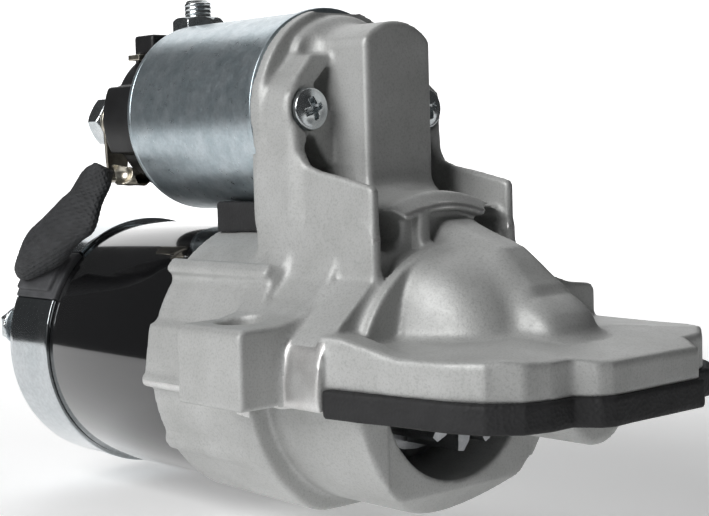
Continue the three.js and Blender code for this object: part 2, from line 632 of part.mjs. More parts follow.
/** Overrunning clutch with the groove that the lever's fork runs in. */
function clutchHousing() {
  const { grooveRear, grooveFront, front, radius } = CLUTCH;
  return turned([
    [grooveRear - 2, 6.4], [grooveRear - 2, 16.5], [grooveRear, 16.5], [grooveRear, 12.5], [grooveFront, 12.5],
    [grooveFront, 17], [-20, radius - 1], [-19, radius], [front - 2, radius], [front, radius - 2.5],
    [front, 6.4], [grooveRear - 2, 6.4],
  ], 28);
}

function pinion() {
  const { module, teeth, rear, front } = PINION;
  const gear = alongX(outline(gearOutline(teeth, module, { thinning: 0.3 })), rear, front);
  const lead = turned([[rear - 1, 0], [rear - 1, 22], [front - 2, 22], [front + 0.2, 14], [front + 0.2, 0]], 33);
  return cut(gear.intersect(lead), rodX(rear - 1, front + 1, OUTPUT.radius + 0.4, 24));
}

// ---- lever --------------------------------------------------------------------------------------

/** Shift lever, drawn upright about its pivot and leaned back to rest by its mesh's rotation. */
function shiftLever() {
  const reach = SOLENOID_Z - PIVOT.z;
  const upper = alongY(outline([
    [-3.4, -4], [3.4, -4], [3.4, 6], [2.1, reach - 6], [2.1, reach + 2.6], [1.2, reach + 4], [-1.2, reach + 4],
    [-2.1, reach + 2.6], [-2.1, reach - 6], [-3.4, 6],
  ]), -2.4, 2.4);
  const hub = rodY(-6, 6, 5, 20);
  const bridge = block([-3.4, -19.4, -9.5], [3.4, 19.4, -4.2]);
  const fork = [-1, 1].map((sign) => {
    const arm = alongY(outline([[-3.4, -5], [3.4, -5], [2.8, -PIVOT.z - 3], [-2.8, -PIVOT.z - 3]]),
      Math.min(sign * 17, sign * 19.4), Math.max(sign * 17, sign * 19.4));
    const pad = rodY(Math.min(sign * 13, sign * 17.4), Math.max(sign * 13, sign * 17.4), 2.9, 16, 0, -PIVOT.z);
    return join(arm, pad);
  });
  return cut(join(upper, hub, bridge, fork), rodY(-8, 8, PIVOT.radius + GAP, 16));
}

// ---- solenoid, about its own axis ---------------------------------------------------------------

function solenoidCase() {
  const { rear, front, radius, wall, flangeRadius, frontWall } = SOLENOID;
  const shell = turned([
    [rear, radius - wall], [rear, radius], [-30.4, radius], [-30.4, flangeRadius], [front, flangeRadius],
    [front, 9.4], [frontWall, 9.4], [frontWall, radius - wall], [rear, radius - wall],
  ], 40);
  const threads = SCREW_PLACES.map((y) => rodX(-40, -20, SCREW.radius + GAP, 12, y));
  return cut(shell, threads);
}

function bobbin() {
  return turned([
    [-64.4, 9.3], [-64.4, 23.6], [-62.9, 23.6], [-62.9, 10.6], [-35, 10.6], [-35, 23.6], [-33.5, 23.6],
    [-33.5, 9.3], [-64.4, 9.3],
  ], 24);
}

function coil() {
  return tubeX(-62.6, -35.3, 10.9, 23, 24);
}

function fixedCore() {
  return turned([
    [-83, 2.5], [-83, 23.8], [-79, 23.8], [-79, 9], [-62.6, 9], [-62.6, 2.5], [-83, 2.5],
  ], 24);
}

/** Plunger with its return-spring bore and the slotted tail that drives the lever. */
function plunger() {
  const { rear, front, radius, bore, boreEnd } = PLUNGER;
  const barrel = turned([
    [rear, bore], [rear, radius], [front, radius], [front + 1, 6], [front + 2, 6], [front + 2, 0], [boreEnd, 0],
    [boreEnd, bore], [rear, bore],
  ], 20);
  const tail = block([front - 1, -4.6, -4.4], [-8.4, 4.6, 4.4]);
  const slot = block([-17.3, -2.8, -6], [-10.7, 2.8, 6]);
  return cut(join(barrel, tail), slot);
}

function plungerSpring() {
  const coil = helix(4.2, 0.55, 20.2, 6, 8);
  return solid(coil.rotateY(Math.PI / 2).translate(-61.4, 0, 0));
}

function contactDisc() {
  const rod = rodX(-91, -47.2, 2, 14);
  return join(rod, rodX(-90.5, -88.5, 12, 28));
}

/** Moulded cap with a boss round each terminal. */
function solenoidCap() {
  const { front, rear, rimRadius, radius, inner, hollowEnd } = CAP;
  const shell = turned([
    [front, inner], [front, rimRadius], [front - 1.1, rimRadius], [front - 1.1, radius], [rear + 1.5, radius],
    [rear, radius - 1.5], [rear, 0], [hollowEnd, 0], [hollowEnd, inner], [front, inner],
  ], 32);
  const boss = alongX(sector(9, CAP_BOSS.radius, CAP_BOSS.from, CAP_BOSS.to), CAP_BOSS.rear, -88, 8);
  const studBoss = block([-99.4, -1.7, 15], [-87, 14.3, 22]);
  const connector = block([-97, -14, 12], [-87.5, -8, 23.6]);
  const hollow = rodX(hollowEnd, front + 1, inner, 36);
  const studHole = rodZ(15, 40, BATTERY.radius + GAP, 16, BATTERY.x, BATTERY.y);
  const { y, z } = MOTOR_TERMINAL;
  const terminalHole = rodX(-105, -97, MOTOR_TERMINAL.radius + GAP, 16, y, z);
  const signalHole = block([-95.3, -19, 16.1], [-89.2, -9.7, 18.3]);
  return cut(join(shell, boss, studBoss, connector), hollow, studHole, terminalHole, signalHole);
}

function batteryStud() {
  const { x, y, top, radius } = BATTERY;
  const contact = block([-97.8, y - 4, -8], [-95.2, y + 3.6, 14.4]);
  const head = block([-97.8, y - 4, 12.4], [x + radius, y + 4, 14.4]);
  return join(rodZ(13.5, top, radius, 18, x, y), contact, head);
}

function hexNut(inner, height) {
  return cut(rodX(0, height, NUT_CORNERS / 2, 6), rodX(-1, height + 1, inner, 16));
}

function motorTerminalStud() {
  const { y, z, radius, end } = MOTOR_TERMINAL;
  return join(rodX(end, -96, radius, 16, y, z), block([-97.8, y - 2.6, -5], [-95.2, y + 12.4, 5.2]));
}

/** Flat blade that lies crosswise in the cap's connector block. */
function signalTerminal() {
  return block([-95, -17.5, 16.4], [-89.5, -10, 18]);
}

const CRIMP = [[-89.5, -17.5, -17.4], [-91.8, -20.6, -16.2], [-93.8, -23.4, -15.6]];

/** Ring under the motor-terminal nut, its strap, and the crimp that holds the lead. */
function leadLug() {
  const { y, z, radius } = MOTOR_TERMINAL;
  const [rear, front, shelfLow] = [-105.1, -103.9, -17.9];
  const ring = rodX(rear, front, 6.6, 20, y, z);
  const strapShape = outline([[y - 6, -2], [y + 3, -4], [-13.5, shelfLow], [-19.5, shelfLow]]);
  const shelf = block([rear, -19.5, shelfLow], [-88.5, -13.5, shelfLow + 1.2]);
  const crimp = swept(CRIMP, 2.2, 3.2, 6);
  const hole = rodX(rear - 2, front + 2, radius + GAP, 16, y, z);
  return cut(join(ring, alongX(strapShape, rear, front), shelf, crimp), hole);
}

function solenoidScrew() {
  const { face, headRadius, headHeight, radius } = SCREW;
  const head = turned([
    [face + GAP, 0], [face + GAP, headRadius], [face + 1.6, headRadius], [face + headHeight - 0.4, 3.6],
    [face + headHeight, 1.8], [face + headHeight, 0],
  ], 24);
  const shank = rodX(-32.4, face + 1, radius, 12);
  const slot = block([face + 1.4, -2.6, -0.7], [face + 5, 2.6, 0.7]);
  return cut(join(head, shank), slot.rotate([20, 0, 0]), slot.rotate([110, 0, 0]));
}

// ---- motor lead ---------------------------------------------------------------------------------

const LEAD = [
  [[-97, -25.4, 52.6], [0.92, 0, -0.39], 2.9, 2.9],
  [[-98.8, -26.6, 49.8], [0.96, 0, -0.29], 6, 3.1],
  [[-100.9, -29, 44.8], [1, 0, -0.05], 7.6, 3.3],
  [[-102.3, -30.9, 42], [1, 0.03, -0.05], 9.4, 3.5],
  [[-104.6, -33.2, 37.8], [1, 0.06, 0], 12.6, 3.7],
  [[-107.2, -34.6, 34.6], [0.99, 0.11, 0.03], 14.1, 3.8],
  [[-110.6, -35.2, 31], [0.98, 0.16, 0.13], 14.1, 3.8],
  [[-116.7, -34.4, 27.2], [0.94, 0.23, 0.23], 12.6, 3.7],
  [[-122.6, -32.2, 24.5], [0.91, 0.3, 0.27], 10.1, 3.4],
];

/** Sleeved lead: narrow at the lug, spread out flat where it enters the cover. */
function motorLead() {
  const sleeve = lofted(LEAD.map(([centre, across, halfWidth, halfThickness]) => (
    { centre, across, halfWidth, halfThickness })));
  const crimpSpace = swept([...CRIMP, [-94, -23.7, -15.5]], 2.5, 3.5, 8).translate([0, 0, SOLENOID_Z]);
  return cut(sleeve, crimpSpace);
}

// ---- assembly -----------------------------------------------------------------------------------

const motor = new THREE.Group();
const solenoid = new THREE.Group();
solenoid.position.z = SOLENOID_Z;
motor.add(solenoid);

/** Adds copies of one solid, spread evenly round the motor axis. */
function addRound(name, body, finish, count, firstAngle, step) {
  for (let index = 0; index < count; index += 1) {
    const mesh = part(`${name}_${index + 1}`, body, finish);
    mesh.rotation.x = (firstAngle + step * index) * degrees;
    motor.add(mesh);
  }
}

motor.add(part('drive_end_housing', driveEndHousing(), 'castAluminium'));
motor.add(part('bell_seal', bellSeal(), 'rubber'));
motor.add(part('lever_seal', leverSeal(), 'rubber'));
motor.add(part('yoke', yoke(), 'blackPaint'));
addRound('magnet', magnet(), 'magnet', MAGNET.count, BOLT.angle + 30, 360 / MAGNET.count);
motor.add(part('rear_cover', rearCover(), 'zinc'));
motor.add(part('lead_grommet', leadGrommet(), 'rubber'));
for (const [side, [y, z]] of [['left', BOLT_PLACES[0]], ['right', BOLT_PLACES[1]]]) {
  const bolt = part(`through_bolt_${side}`, throughBolt(), 'zinc');
  bolt.position.set(0, y, z);
  motor.add(bolt);
}

motor.add(part('armature_shaft', armatureShaft(), 'steel'));
motor.add(part('armature_core', armatureCore(), 'steel'));
motor.add(part('winding_front', endWinding(-67.6, -62), 'copper'));
motor.add(part('winding_rear', endWinding(-111.9, -106.4), 'copper'));
motor.add(part('commutator', commutator(), 'copper'));
motor.add(part('rear_bearing', tubeX(-135.4, -129.4, SHAFT_RADIUS + GAP, 7, 24), 'bronze'));
motor.add(part('brush_holder', brushHolder(), 'blackPlastic'));
addRound('brush', brush(), 'carbon', 4, BRUSH.firstAngle, 90);
addRound('brush_spring', brushSpring().translate(-119, 0, 0), 'steel', 4, BRUSH.firstAngle, 90);

motor.add(part('gear_cover_plate', tubeX(-59.9, -58.3, 9, RING_RADIUS, 32), 'steel'));
motor.add(part('ring_gear', ringGear(), 'steel'));
const planetBody = planetGear();
const meshing = Math.PI / GEAR.planet;
for (let index = 0; index < 3; index += 1) {
  const angle = 120 * index * degrees;
  const mesh = part(`planet_gear_${index + 1}`, planetBody, 'steel');
  const [y, z] = polar(PLANET_CIRCLE, 120 * index);
  mesh.position.set(0, y, z);
  mesh.rotation.x = angle + Math.PI + meshing + GEAR.sun / GEAR.planet * angle;
  motor.add(mesh);
}
motor.add(part('shaft_bracket', tubeX(-40.6, -35.2, 9.5, RING_RADIUS, 36), 'steel'));
motor.add(part('centre_bushing', tubeX(-40.6, -35.2, OUTPUT.radius + GAP, 9.2, 24), 'bronze'));
motor.add(part('output_shaft', outputShaft(), 'steel'));
motor.add(part('clutch_housing', clutchHousing(), 'steel'));
motor.add(part('pinion', pinion(), 'steel'));
motor.add(part('stop_collar', tubeX(34.4, 38.4, OUTPUT.radius + GAP, 9, 24), 'steel'));
motor.add(part('nose_bushing', tubeX(42, 57, OUTPUT.noseRadius + GAP, 8, 24), 'bronze'));

const lever = part('shift_lever', shiftLever(), 'steel');
lever.position.set(PIVOT.x, 0, PIVOT.z);
lever.rotation.y = LEVER_LEAN;
motor.add(lever);
motor.add(part('lever_pivot', rodY(-14, 14, PIVOT.radius, 16, PIVOT.x, PIVOT.z), 'steel'));

solenoid.add(part('solenoid_case', solenoidCase(), 'zinc'));
solenoid.add(part('coil_bobbin', bobbin(), 'blackPlastic'));
solenoid.add(part('solenoid_coil', coil(), 'copper'));
solenoid.add(part('solenoid_core', fixedCore(), 'steel'));
solenoid.add(part('plunger', plunger(), 'steel'));
solenoid.add(part('plunger_spring', plungerSpring(), 'steel'));
solenoid.add(part('contact_disc', contactDisc(), 'copper'));
solenoid.add(part('solenoid_cap', solenoidCap(), 'blackPlastic'));
solenoid.add(part('battery_stud', batteryStud(), 'zinc'));
solenoid.add(part('motor_terminal_stud', motorTerminalStud(), 'zinc'));
solenoid.add(part('signal_terminal', signalTerminal(), 'tinned'));
solenoid.add(part('lead_lug', leadLug(), 'tinned'));

const batteryNutBody = hexNut(BATTERY.radius + GAP, BATTERY.nutHigh - BATTERY.nutLow);
const batteryNut = part('battery_nut', batteryNutBody, 'zinc');
batteryNut.position.set(BATTERY.x, BATTERY.y, BATTERY.nutLow);
batteryNut.rotation.y = -Math.PI / 2;
solenoid.add(batteryNut);

const { nutRear, nutFront } = MOTOR_TERMINAL;
const motorNut = part('motor_terminal_nut', hexNut(MOTOR_TERMINAL.radius + GAP, nutFront - nutRear), 'zinc');
motorNut.position.set(nutRear, MOTOR_TERMINAL.y, MOTOR_TERMINAL.z);
motorNut.rotation.x = Math.PI / 6;
solenoid.add(motorNut);

SCREW_PLACES.forEach((y, index) => {
  const screw = part(`solenoid_screw_${['left', 'right'][index]}`, solenoidScrew(), 'zinc');
  screw.position.set(0, y, 0);
  solenoid.add(screw);
});

motor.add(part('motor_lead', motorLead(), 'sleeve'));

export default motor;
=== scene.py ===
"""Starter motor with a planetary gear and a piggyback solenoid, shown on a pale sweep.

Every length in the tables below is in millimetres, in the frame of the CAD model: X along the output
shaft towards the nose, Z from the motor to the solenoid, the origin on the motor axis in the plane of
the mounting flange. The camera, the lights and the floor are placed in metres.
"""

import bpy
import json
import math
import numpy as np
from mathutils import Matrix, Vector

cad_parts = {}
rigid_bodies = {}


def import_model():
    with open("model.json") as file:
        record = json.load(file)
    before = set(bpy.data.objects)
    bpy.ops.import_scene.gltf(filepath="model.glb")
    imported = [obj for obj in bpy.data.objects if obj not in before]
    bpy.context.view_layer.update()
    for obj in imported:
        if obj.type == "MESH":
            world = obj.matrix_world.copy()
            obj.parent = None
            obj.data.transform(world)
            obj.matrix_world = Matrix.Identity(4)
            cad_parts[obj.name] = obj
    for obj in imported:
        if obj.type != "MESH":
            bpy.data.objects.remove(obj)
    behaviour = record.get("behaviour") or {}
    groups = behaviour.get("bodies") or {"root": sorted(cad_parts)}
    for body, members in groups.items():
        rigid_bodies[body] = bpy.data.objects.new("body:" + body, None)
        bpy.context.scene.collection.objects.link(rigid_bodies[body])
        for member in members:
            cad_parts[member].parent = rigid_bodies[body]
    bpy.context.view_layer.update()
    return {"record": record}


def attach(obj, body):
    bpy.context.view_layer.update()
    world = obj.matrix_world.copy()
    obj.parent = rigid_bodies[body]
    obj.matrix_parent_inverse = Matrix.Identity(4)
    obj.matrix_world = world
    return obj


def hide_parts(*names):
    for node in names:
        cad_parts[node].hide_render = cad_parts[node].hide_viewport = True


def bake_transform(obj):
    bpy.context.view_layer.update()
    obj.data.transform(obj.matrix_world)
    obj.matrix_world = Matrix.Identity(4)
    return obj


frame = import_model()
MM = 0.001
SOLENOID_Z = 66.15
YOKE_RADIUS = 35.9
COVER_RADIUS = 36.6
SCREWS_Y = (-19.3, 20.1)
BATTERY_X, BATTERY_Y = -93.3, 6.3
MOTOR_TERMINAL_Y, MOTOR_TERMINAL_RISE = -14.4, -0.35
BOLT_CIRCLE = 30.6
BOLT_ANGLES = {"left": 170, "right": -10}
LUG_HOLES = ((-14.5, -42.3), (1, 46.4))
PIVOT_X, PIVOT_Z = -19, 38.5
GROMMET_ANGLE = 143.5
NUT_CORNER = 7.5

# ---- camera --------------------------------------------------------------------------------------

AZIMUTH, ELEVATION, ROLL = (math.radians(a) for a in (42.07, 4.26, -1.51))
forward = Vector((-math.cos(AZIMUTH) * math.cos(ELEVATION), math.sin(AZIMUTH) * math.cos(ELEVATION),
                  -math.sin(ELEVATION)))
level = forward.cross(Vector((0, 0, 1))).normalized()
upright = level.cross(forward)
camera_x = level * math.cos(ROLL) + upright * math.sin(ROLL)
camera_y = -level * math.sin(ROLL) + upright * math.cos(ROLL)
camera = bpy.data.objects.new("camera", bpy.data.cameras.new("camera"))
camera.matrix_world = Matrix.Translation((0.2707, -0.2620, 0.0569)) @ Matrix(
    (camera_x, camera_y, -forward)).transposed().to_4x4()
camera.data.lens = 77.39
camera.data.sensor_width = 36
camera.data.shift_x = -0.0041
camera.data.shift_y = 0.0019
camera.data.clip_start = 0.01
bpy.context.scene.collection.objects.link(camera)
bpy.context.scene.camera = camera

# ---- distance fields -----------------------------------------------------------------------------


def blend(a, b, radius=0.0):
    """Union of two fields, with a fillet of the given radius where they meet."""
    if radius <= 0:
        return np.minimum(a, b)
    u = np.maximum(radius - a, 0)
    v = np.maximum(radius - b, 0)
    return np.maximum(radius, np.minimum(a, b)) - np.sqrt(u * u + v * v)


def meet(a, b, radius=0.0):
    """Intersection of two fields, with its edge rounded."""
    if radius <= 0:
        return np.maximum(a, b)
    u = np.maximum(radius + a, 0)
    v = np.maximum(radius + b, 0)
    return np.minimum(-radius, np.maximum(a, b)) + np.sqrt(u * u + v * v)


def carve(body, tool, radius=0.0):
    """Body without the tool, with the edge of the cut rounded."""
    return meet(body, -tool, radius)


def slab(value, low, high):
    """Field of the layer low < value < high."""
    return np.maximum(low - value, value - high)


def tube(u, v, centre_u, centre_v, radius):
    """Field of an endless cylinder."""
    return np.sqrt((u - centre_u) ** 2 + (v - centre_v) ** 2) - radius


def brick(x, y, z, low, high, radius=0.5):
    """Field of a block with rounded edges."""
    gaps = []
    for value, a, b in ((x, low[0], high[0]), (y, low[1], high[1]), (z, low[2], high[2])):
        gaps.append(np.abs(value - (a + b) / 2) - (b - a) / 2 + radius)
    outside = np.sqrt(sum(np.maximum(gap, 0) ** 2 for gap in gaps))
    inside = np.minimum(np.maximum(np.maximum(gaps[0], gaps[1]), gaps[2]), 0)
    return outside + inside - radius


def polygon(u, v, corners, radius=0.0):
    """Field of a polygon in the uv plane, its corners rounded."""
    u, v = np.broadcast_arrays(u, v)
    nearest = np.full(u.shape, 1e9, np.float32)
    inside = np.zeros(u.shape, bool)
    for (u0, v0), (u1, v1) in zip(corners, corners[1:] + corners[:1]):
        du, dv = u1 - u0, v1 - v0
        share = np.clip(((u - u0) * du + (v - v0) * dv) / (du * du + dv * dv), 0, 1)
        nearest = np.minimum(nearest, (u - u0 - share * du) ** 2 + (v - v0 - share * dv) ** 2)
        crosses = (v0 > v) != (v1 > v)
        if dv:
            inside ^= crosses & (u < u0 + (v - v0) * du / dv)
    nearest = np.sqrt(nearest)
    return np.where(inside, -nearest, nearest) - radius


def turn(u, v, degrees):
    """Coordinates in axes turned by an angle."""
    c, s = math.cos(math.radians(degrees)), math.sin(math.radians(degrees))
    return u * c + v * s, v * c - u * s


CORNERS = np.array([(i, j, k) for i in (0, 1) for j in (0, 1) for k in (0, 1)])
EDGES = [(a, b) for a in range(8) for b in range(a + 1, 8) if np.abs(CORNERS[a] - CORNERS[b]).sum() == 1]


def surface(field, low, high, step):
    """Quads of the zero level of field(x, y, z) inside a box, by surface nets."""
    axes = [np.arange(a, b + step, step, dtype=np.float32) for a, b in zip(low, high)]
    shape = tuple(len(axis) for axis in axes)
    values = np.broadcast_to(
        field(axes[0][:, None, None], axes[1][None, :, None], axes[2][None, None, :]), shape)
    inside = values < 0
    cells = tuple(n - 1 for n in shape)
    count = np.zeros(cells, np.uint8)
    for i, j, k in CORNERS:
        count += inside[i:i + cells[0], j:j + cells[1], k:k + cells[2]]
    active = (count > 0) & (count < 8)
    cell = np.full(cells, -1, np.int32)
    places = np.argwhere(active)
    cell[active] = np.arange(len(places))
    total = np.zeros((len(places), 3))
    hits = np.zeros(len(places))
    at_corner = [values[tuple((places + c).T)] for c in CORNERS]
    for a, b in EDGES:
        va, vb = at_corner[a], at_corner[b]
        crosses = (va < 0) != (vb < 0)
        share = (va[crosses] / (va[crosses] - vb[crosses]))[:, None]
        total[crosses] += CORNERS[a] + share * (CORNERS[b] - CORNERS[a])
        hits[crosses] += 1
    points = np.array([axis[0] for axis in axes]) + (places + total / hits[:, None]) * step
    quads = []
    for axis in range(3):
        u, v = np.eye(3, dtype=int)[(axis + 1) % 3], np.eye(3, dtype=int)[(axis + 2) % 3]
        along = np.eye(3, dtype=int)[axis]
        first = inside[tuple(slice(0, n - s) for n, s in zip(shape, along))]
        second = inside[tuple(slice(s, n) for n, s in zip(shape, along))]
        edge = np.argwhere(first != second)
        edge = edge[np.all((edge >= u + v) & (edge < np.array(cells)), axis=1)]
        ring = np.stack([cell[tuple((edge - u - v).T)], cell[tuple((edge - v).T)], cell[tuple(edge.T)],
                         cell[tuple((edge - u).T)]], axis=1)
        outward = first[tuple(edge.T)]
        ring[~outward] = ring[~outward][:, ::-1]
        quads.append(ring)
    return points, np.concatenate(quads)


# ---- pieces --------------------------------------------------------------------------------------


def piece(name, points, faces, body, material, nodes=(), slot=None, crease=None, split=None):
    """A mesh from points in millimetres that stands for CAD nodes and rides on a body, if one is given."""
    mesh = bpy.data.meshes.new(name)
    faces = np.asarray(faces, np.int32)
    corners = faces.shape[1]
    mesh.vertices.add(len(points))
    mesh.vertices.foreach_set("co", (np.asarray(points, np.float32) * MM).ravel())
    mesh.loops.add(faces.size)
    mesh.loops.foreach_set("vertex_index", faces.ravel())
    mesh.polygons.add(len(faces))
    mesh.polygons.foreach_set("loop_start", np.arange(0, faces.size, corners, dtype=np.int32))
    mesh.update(calc_edges=True)
    mesh.validate()
    mesh.shade_smooth()
    if crease:
        mesh.set_sharp_from_angle(angle=math.radians(crease))
    for finish in (material if isinstance(material, (list, tuple)) else [material]):
        mesh.materials.append(finish)
    if split is not None:
        centres = np.asarray(points)[faces].mean(axis=1)
        mesh.polygons.foreach_set("material_index", split(centres).astype(np.int32))
    made = bpy.data.objects.new(name, mesh)
    bpy.context.scene.collection.objects.link(made)
    if body:
        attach(made, body)
    if nodes:
        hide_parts(*nodes)
    return made


def moulded(name, field, low, high, step, material, node, slot, crease, shift=(0, 0, 0)):
    """A piece of the housing body made from a field and moved into place."""
    points, faces = surface(field, low, high, step)
    return piece(name, points + shift, faces, "housing", material, (node,), slot, crease)


def closed_tube(rings, around):
    """Quads of a tube made of rings of points, closed at both ends."""
    ring, step = np.meshgrid(np.arange(rings - 1), np.arange(around), indexing="ij")
    after = (step + 1) % around
    sides = np.stack([ring * around + step, ring * around + after, (ring + 1) * around + after,
                      (ring + 1) * around + step], axis=-1).reshape(-1, 4)
    half = np.arange(around // 2 - 1)
    near = np.stack([half, around - 1 - half, around - 2 - half, half + 1], axis=1)
    return np.concatenate([sides, near, near[:, ::-1] + (rings - 1) * around])


def rounded(profile, steps=5):
    """A closed or open profile of (x, r, fillet) entries with its corners turned into arcs."""
    made = []
    count = len(profile)
    for index, (x, r, fillet) in enumerate(profile):
        here = np.array([x, r], float)
        before = np.array(profile[(index - 1) % count][:2], float)
        after = np.array(profile[(index + 1) % count][:2], float)
        if not fillet:
            made.append(tuple(here))
            continue
        a, b = before - here, after - here
        a, b = a / np.linalg.norm(a), b / np.linalg.norm(b)
        half = math.acos(max(-1, min(1, float(a @ b)))) / 2
        reach = fillet / math.tan(half)
        centre = here + (a + b) / np.linalg.norm(a + b) * fillet / math.sin(half)
        start, end = here + a * reach - centre, here + b * reach - centre
        first = math.atan2(start[1], start[0])
        sweep = math.atan2(end[1], end[0]) - first
        sweep = (sweep + math.pi) % (2 * math.pi) - math.pi
        for k in range(steps + 1):
            angle = first + sweep * k / steps
            made.append(tuple(centre + fillet * np.array([math.cos(angle), math.sin(angle)])))
    return made


def lathe(profile, segments=144, centre=(0.0, 0.0), start=0.0, sweep=360.0):
    """Points and quads of a closed profile turned about a line along X, whole or in part."""
    whole = sweep >= 360
    rings = segments if whole else segments + 1
    angles = np.radians(start + sweep * np.arange(rings) / segments)
    x = np.array([p[0] for p in profile])
    r = np.array([p[1] for p in profile])
    points = np.stack([
        np.broadcast_to(x, (rings, len(x))), centre[0] + np.outer(np.cos(angles), r),
        centre[1] + np.outer(np.sin(angles), r)], axis=-1).reshape(-1, 3)
    n = len(profile)
    faces = []
    for ring in range(segments):
        after = (ring + 1) % rings
        for k in range(n):
            j = (k + 1) % n
            faces.append((ring * n + k, after * n + k, after * n + j, ring * n + j))
    area = sum(x[k] * r[(k + 1) % n] - x[(k + 1) % n] * r[k] for k in range(n))
    faces = np.array(faces)
    return points, faces if area > 0 else faces[:, ::-1]


# ---- materials -----------------------------------------------------------------------------------


MIX_FACTOR, MIX_A, MIX_B, MIX_RESULT = 0, 6, 7, 2    # colour sockets of the Mix node


class Finish:
    """A node material with helpers for layered noise, colour and bump in object space."""

    def __init__(self, name):
        self.material = bpy.data.materials.new(name)
        self.material.use_nodes = True
        self.tree = self.material.node_tree
        self.shader = self.tree.nodes["Principled BSDF"]
        self.place = self.tree.nodes.new("ShaderNodeTexCoord").outputs["Object"]
        self.normal = None

    def link(self, a, b):
        self.tree.links.new(a, b)

    def value(self, socket, value):
        self.shader.inputs[socket].default_value = value

    def stretched(self, scale):
        node = self.tree.nodes.new("ShaderNodeMapping")
        node.inputs["Scale"].default_value = scale
        self.link(self.place, node.inputs["Vector"])
        return node.outputs["Vector"]

    def noise(self, size, detail=3.0, roughness=0.55, stretch=None):
        """Noise whose features are about size millimetres across."""
        node = self.tree.nodes.new("ShaderNodeTexNoise")
        node.inputs["Scale"].default_value = 1000.0 / size
        node.inputs["Detail"].default_value = detail
        node.inputs["Roughness"].default_value = roughness
        self.link(self.stretched(stretch) if stretch else self.place, node.inputs["Vector"])
        return node.outputs["Fac"]

    def cells(self, size):
        node = self.tree.nodes.new("ShaderNodeTexVoronoi")
        node.inputs["Scale"].default_value = 1000.0 / size
        self.link(self.place, node.inputs["Vector"])
        return node.outputs["Distance"]

    def ramp(self, source, stops):
        """Colour ramp through (position, colour) stops; a colour may be one grey value."""
        node = self.tree.nodes.new("ShaderNodeValToRGB")
        elements = node.color_ramp.elements
        while len(elements) < len(stops):
            elements.new(0.5)
        for element, (position, colour) in zip(elements, stops):
            grey = isinstance(colour, (int, float))
            element.position = position
            element.color = (colour, colour, colour, 1) if grey else (*colour, 1)
        self.link(source, node.inputs["Fac"])
        return node.outputs["Color"]

    def mix(self, a, b, factor, mode="MIX"):
        node = self.tree.nodes.new("ShaderNodeMix")
        node.data_type = "RGBA"
        node.blend_type = mode
        node.inputs[MIX_FACTOR].default_value = factor
        self.link(a, node.inputs[MIX_A])
        self.link(b, node.inputs[MIX_B])
        return node.outputs[MIX_RESULT]

    def colour(self, source):
        self.link(source, self.shader.inputs["Base Color"])

    def rough(self, source, low, high):
        node = self.tree.nodes.new("ShaderNodeMapRange")
        node.inputs["To Min"].default_value = low
        node.inputs["To Max"].default_value = high
        self.link(source, node.inputs["Value"])
        self.link(node.outputs["Result"], self.shader.inputs["Roughness"])

    def bump(self, source, depth, strength=1.0):
        """Adds relief of about depth millimetres."""
        node = self.tree.nodes.new("ShaderNodeBump")
        node.inputs["Distance"].default_value = depth * MM
        node.inputs["Strength"].default_value = strength
        self.link(source, node.inputs["Height"])
        if self.normal is not None:
            self.link(self.normal, node.inputs["Normal"])
        self.normal = node.outputs["Normal"]
        self.link(self.normal, self.shader.inputs["Normal"])


def metal(name, dark, light, rough, grain=0.5, depth=0.01, metallic=1.0, patch=9.0, stretch=None):
    """Metal with a slow change of tone, fine grain and uneven gloss."""
    made = Finish(name)
    made.value("Metallic", metallic)
    tone = made.ramp(made.noise(patch, 4), [(0.35, dark), (0.65, light)])
    fine = made.noise(grain, 2, 0.6, stretch)
    made.colour(made.mix(tone, made.ramp(fine, [(0.3, 0.55), (0.7, 1.0)]), 0.35, "MULTIPLY"))
    made.rough(made.noise(patch * 0.4, 4), *rough)
    made.bump(fine, depth)
    return made.material


def cast_material():
    """Blasted cast aluminium: pale warm grey, with fine pits and a faint mould texture."""
    made = Finish("cast_aluminium")
    made.value("Metallic", 0.35)
    made.value("Specular IOR Level", 0.4)
    tone = made.ramp(made.noise(14, 5), [(0.3, (0.46, 0.465, 0.455)), (0.7, (0.55, 0.555, 0.548))])
    speck = made.ramp(made.noise(0.55, 2, 0.7), [(0.32, 0.62), (0.5, 0.93), (0.7, 1.0)])
    pits = made.ramp(made.cells(1.7), [(0.05, 0.72), (0.14, 1.0)])
    shade = made.mix(tone, speck, 0.5, "MULTIPLY")
    made.colour(made.mix(shade, pits, 0.35, "MULTIPLY"))
    made.rough(made.noise(2.5, 4), 0.42, 0.62)
    made.bump(made.noise(3.2, 3), 0.12, 0.5)
    made.bump(made.noise(0.5, 2, 0.7), 0.05, 0.9)
    return made.material


def rubber_material(name, base, grain, depth):
    made = Finish(name)
    made.colour(made.ramp(made.noise(grain * 6, 4), [
        (0.3, tuple(c * 0.7 for c in base)), (0.7, tuple(c * 1.35 for c in base))]))
    made.rough(made.noise(grain * 3, 3), 0.55, 0.85)
    made.bump(made.cells(grain), depth)
    return made.material


def paint_material():
    """Gloss black paint with slight orange peel and dust specks."""
    made = Finish("black_paint")
    dust = made.ramp(made.cells(5.5), [(0.0, (0.25, 0.25, 0.25)), (0.022, (0.006, 0.006, 0.0065))])
    made.colour(made.mix(dust, made.ramp(made.noise(20, 3), [(0.3, 0.8), (0.7, 1.0)]), 0.5, "MULTIPLY"))
    made.rough(made.noise(8, 4), 0.07, 0.16)
    made.bump(made.noise(2.2, 2), 0.02, 0.25)
    made.value("Coat Weight", 1.0)
    made.value("Coat IOR", 1.7)
    made.value("Coat Roughness", 0.05)
    return made.material


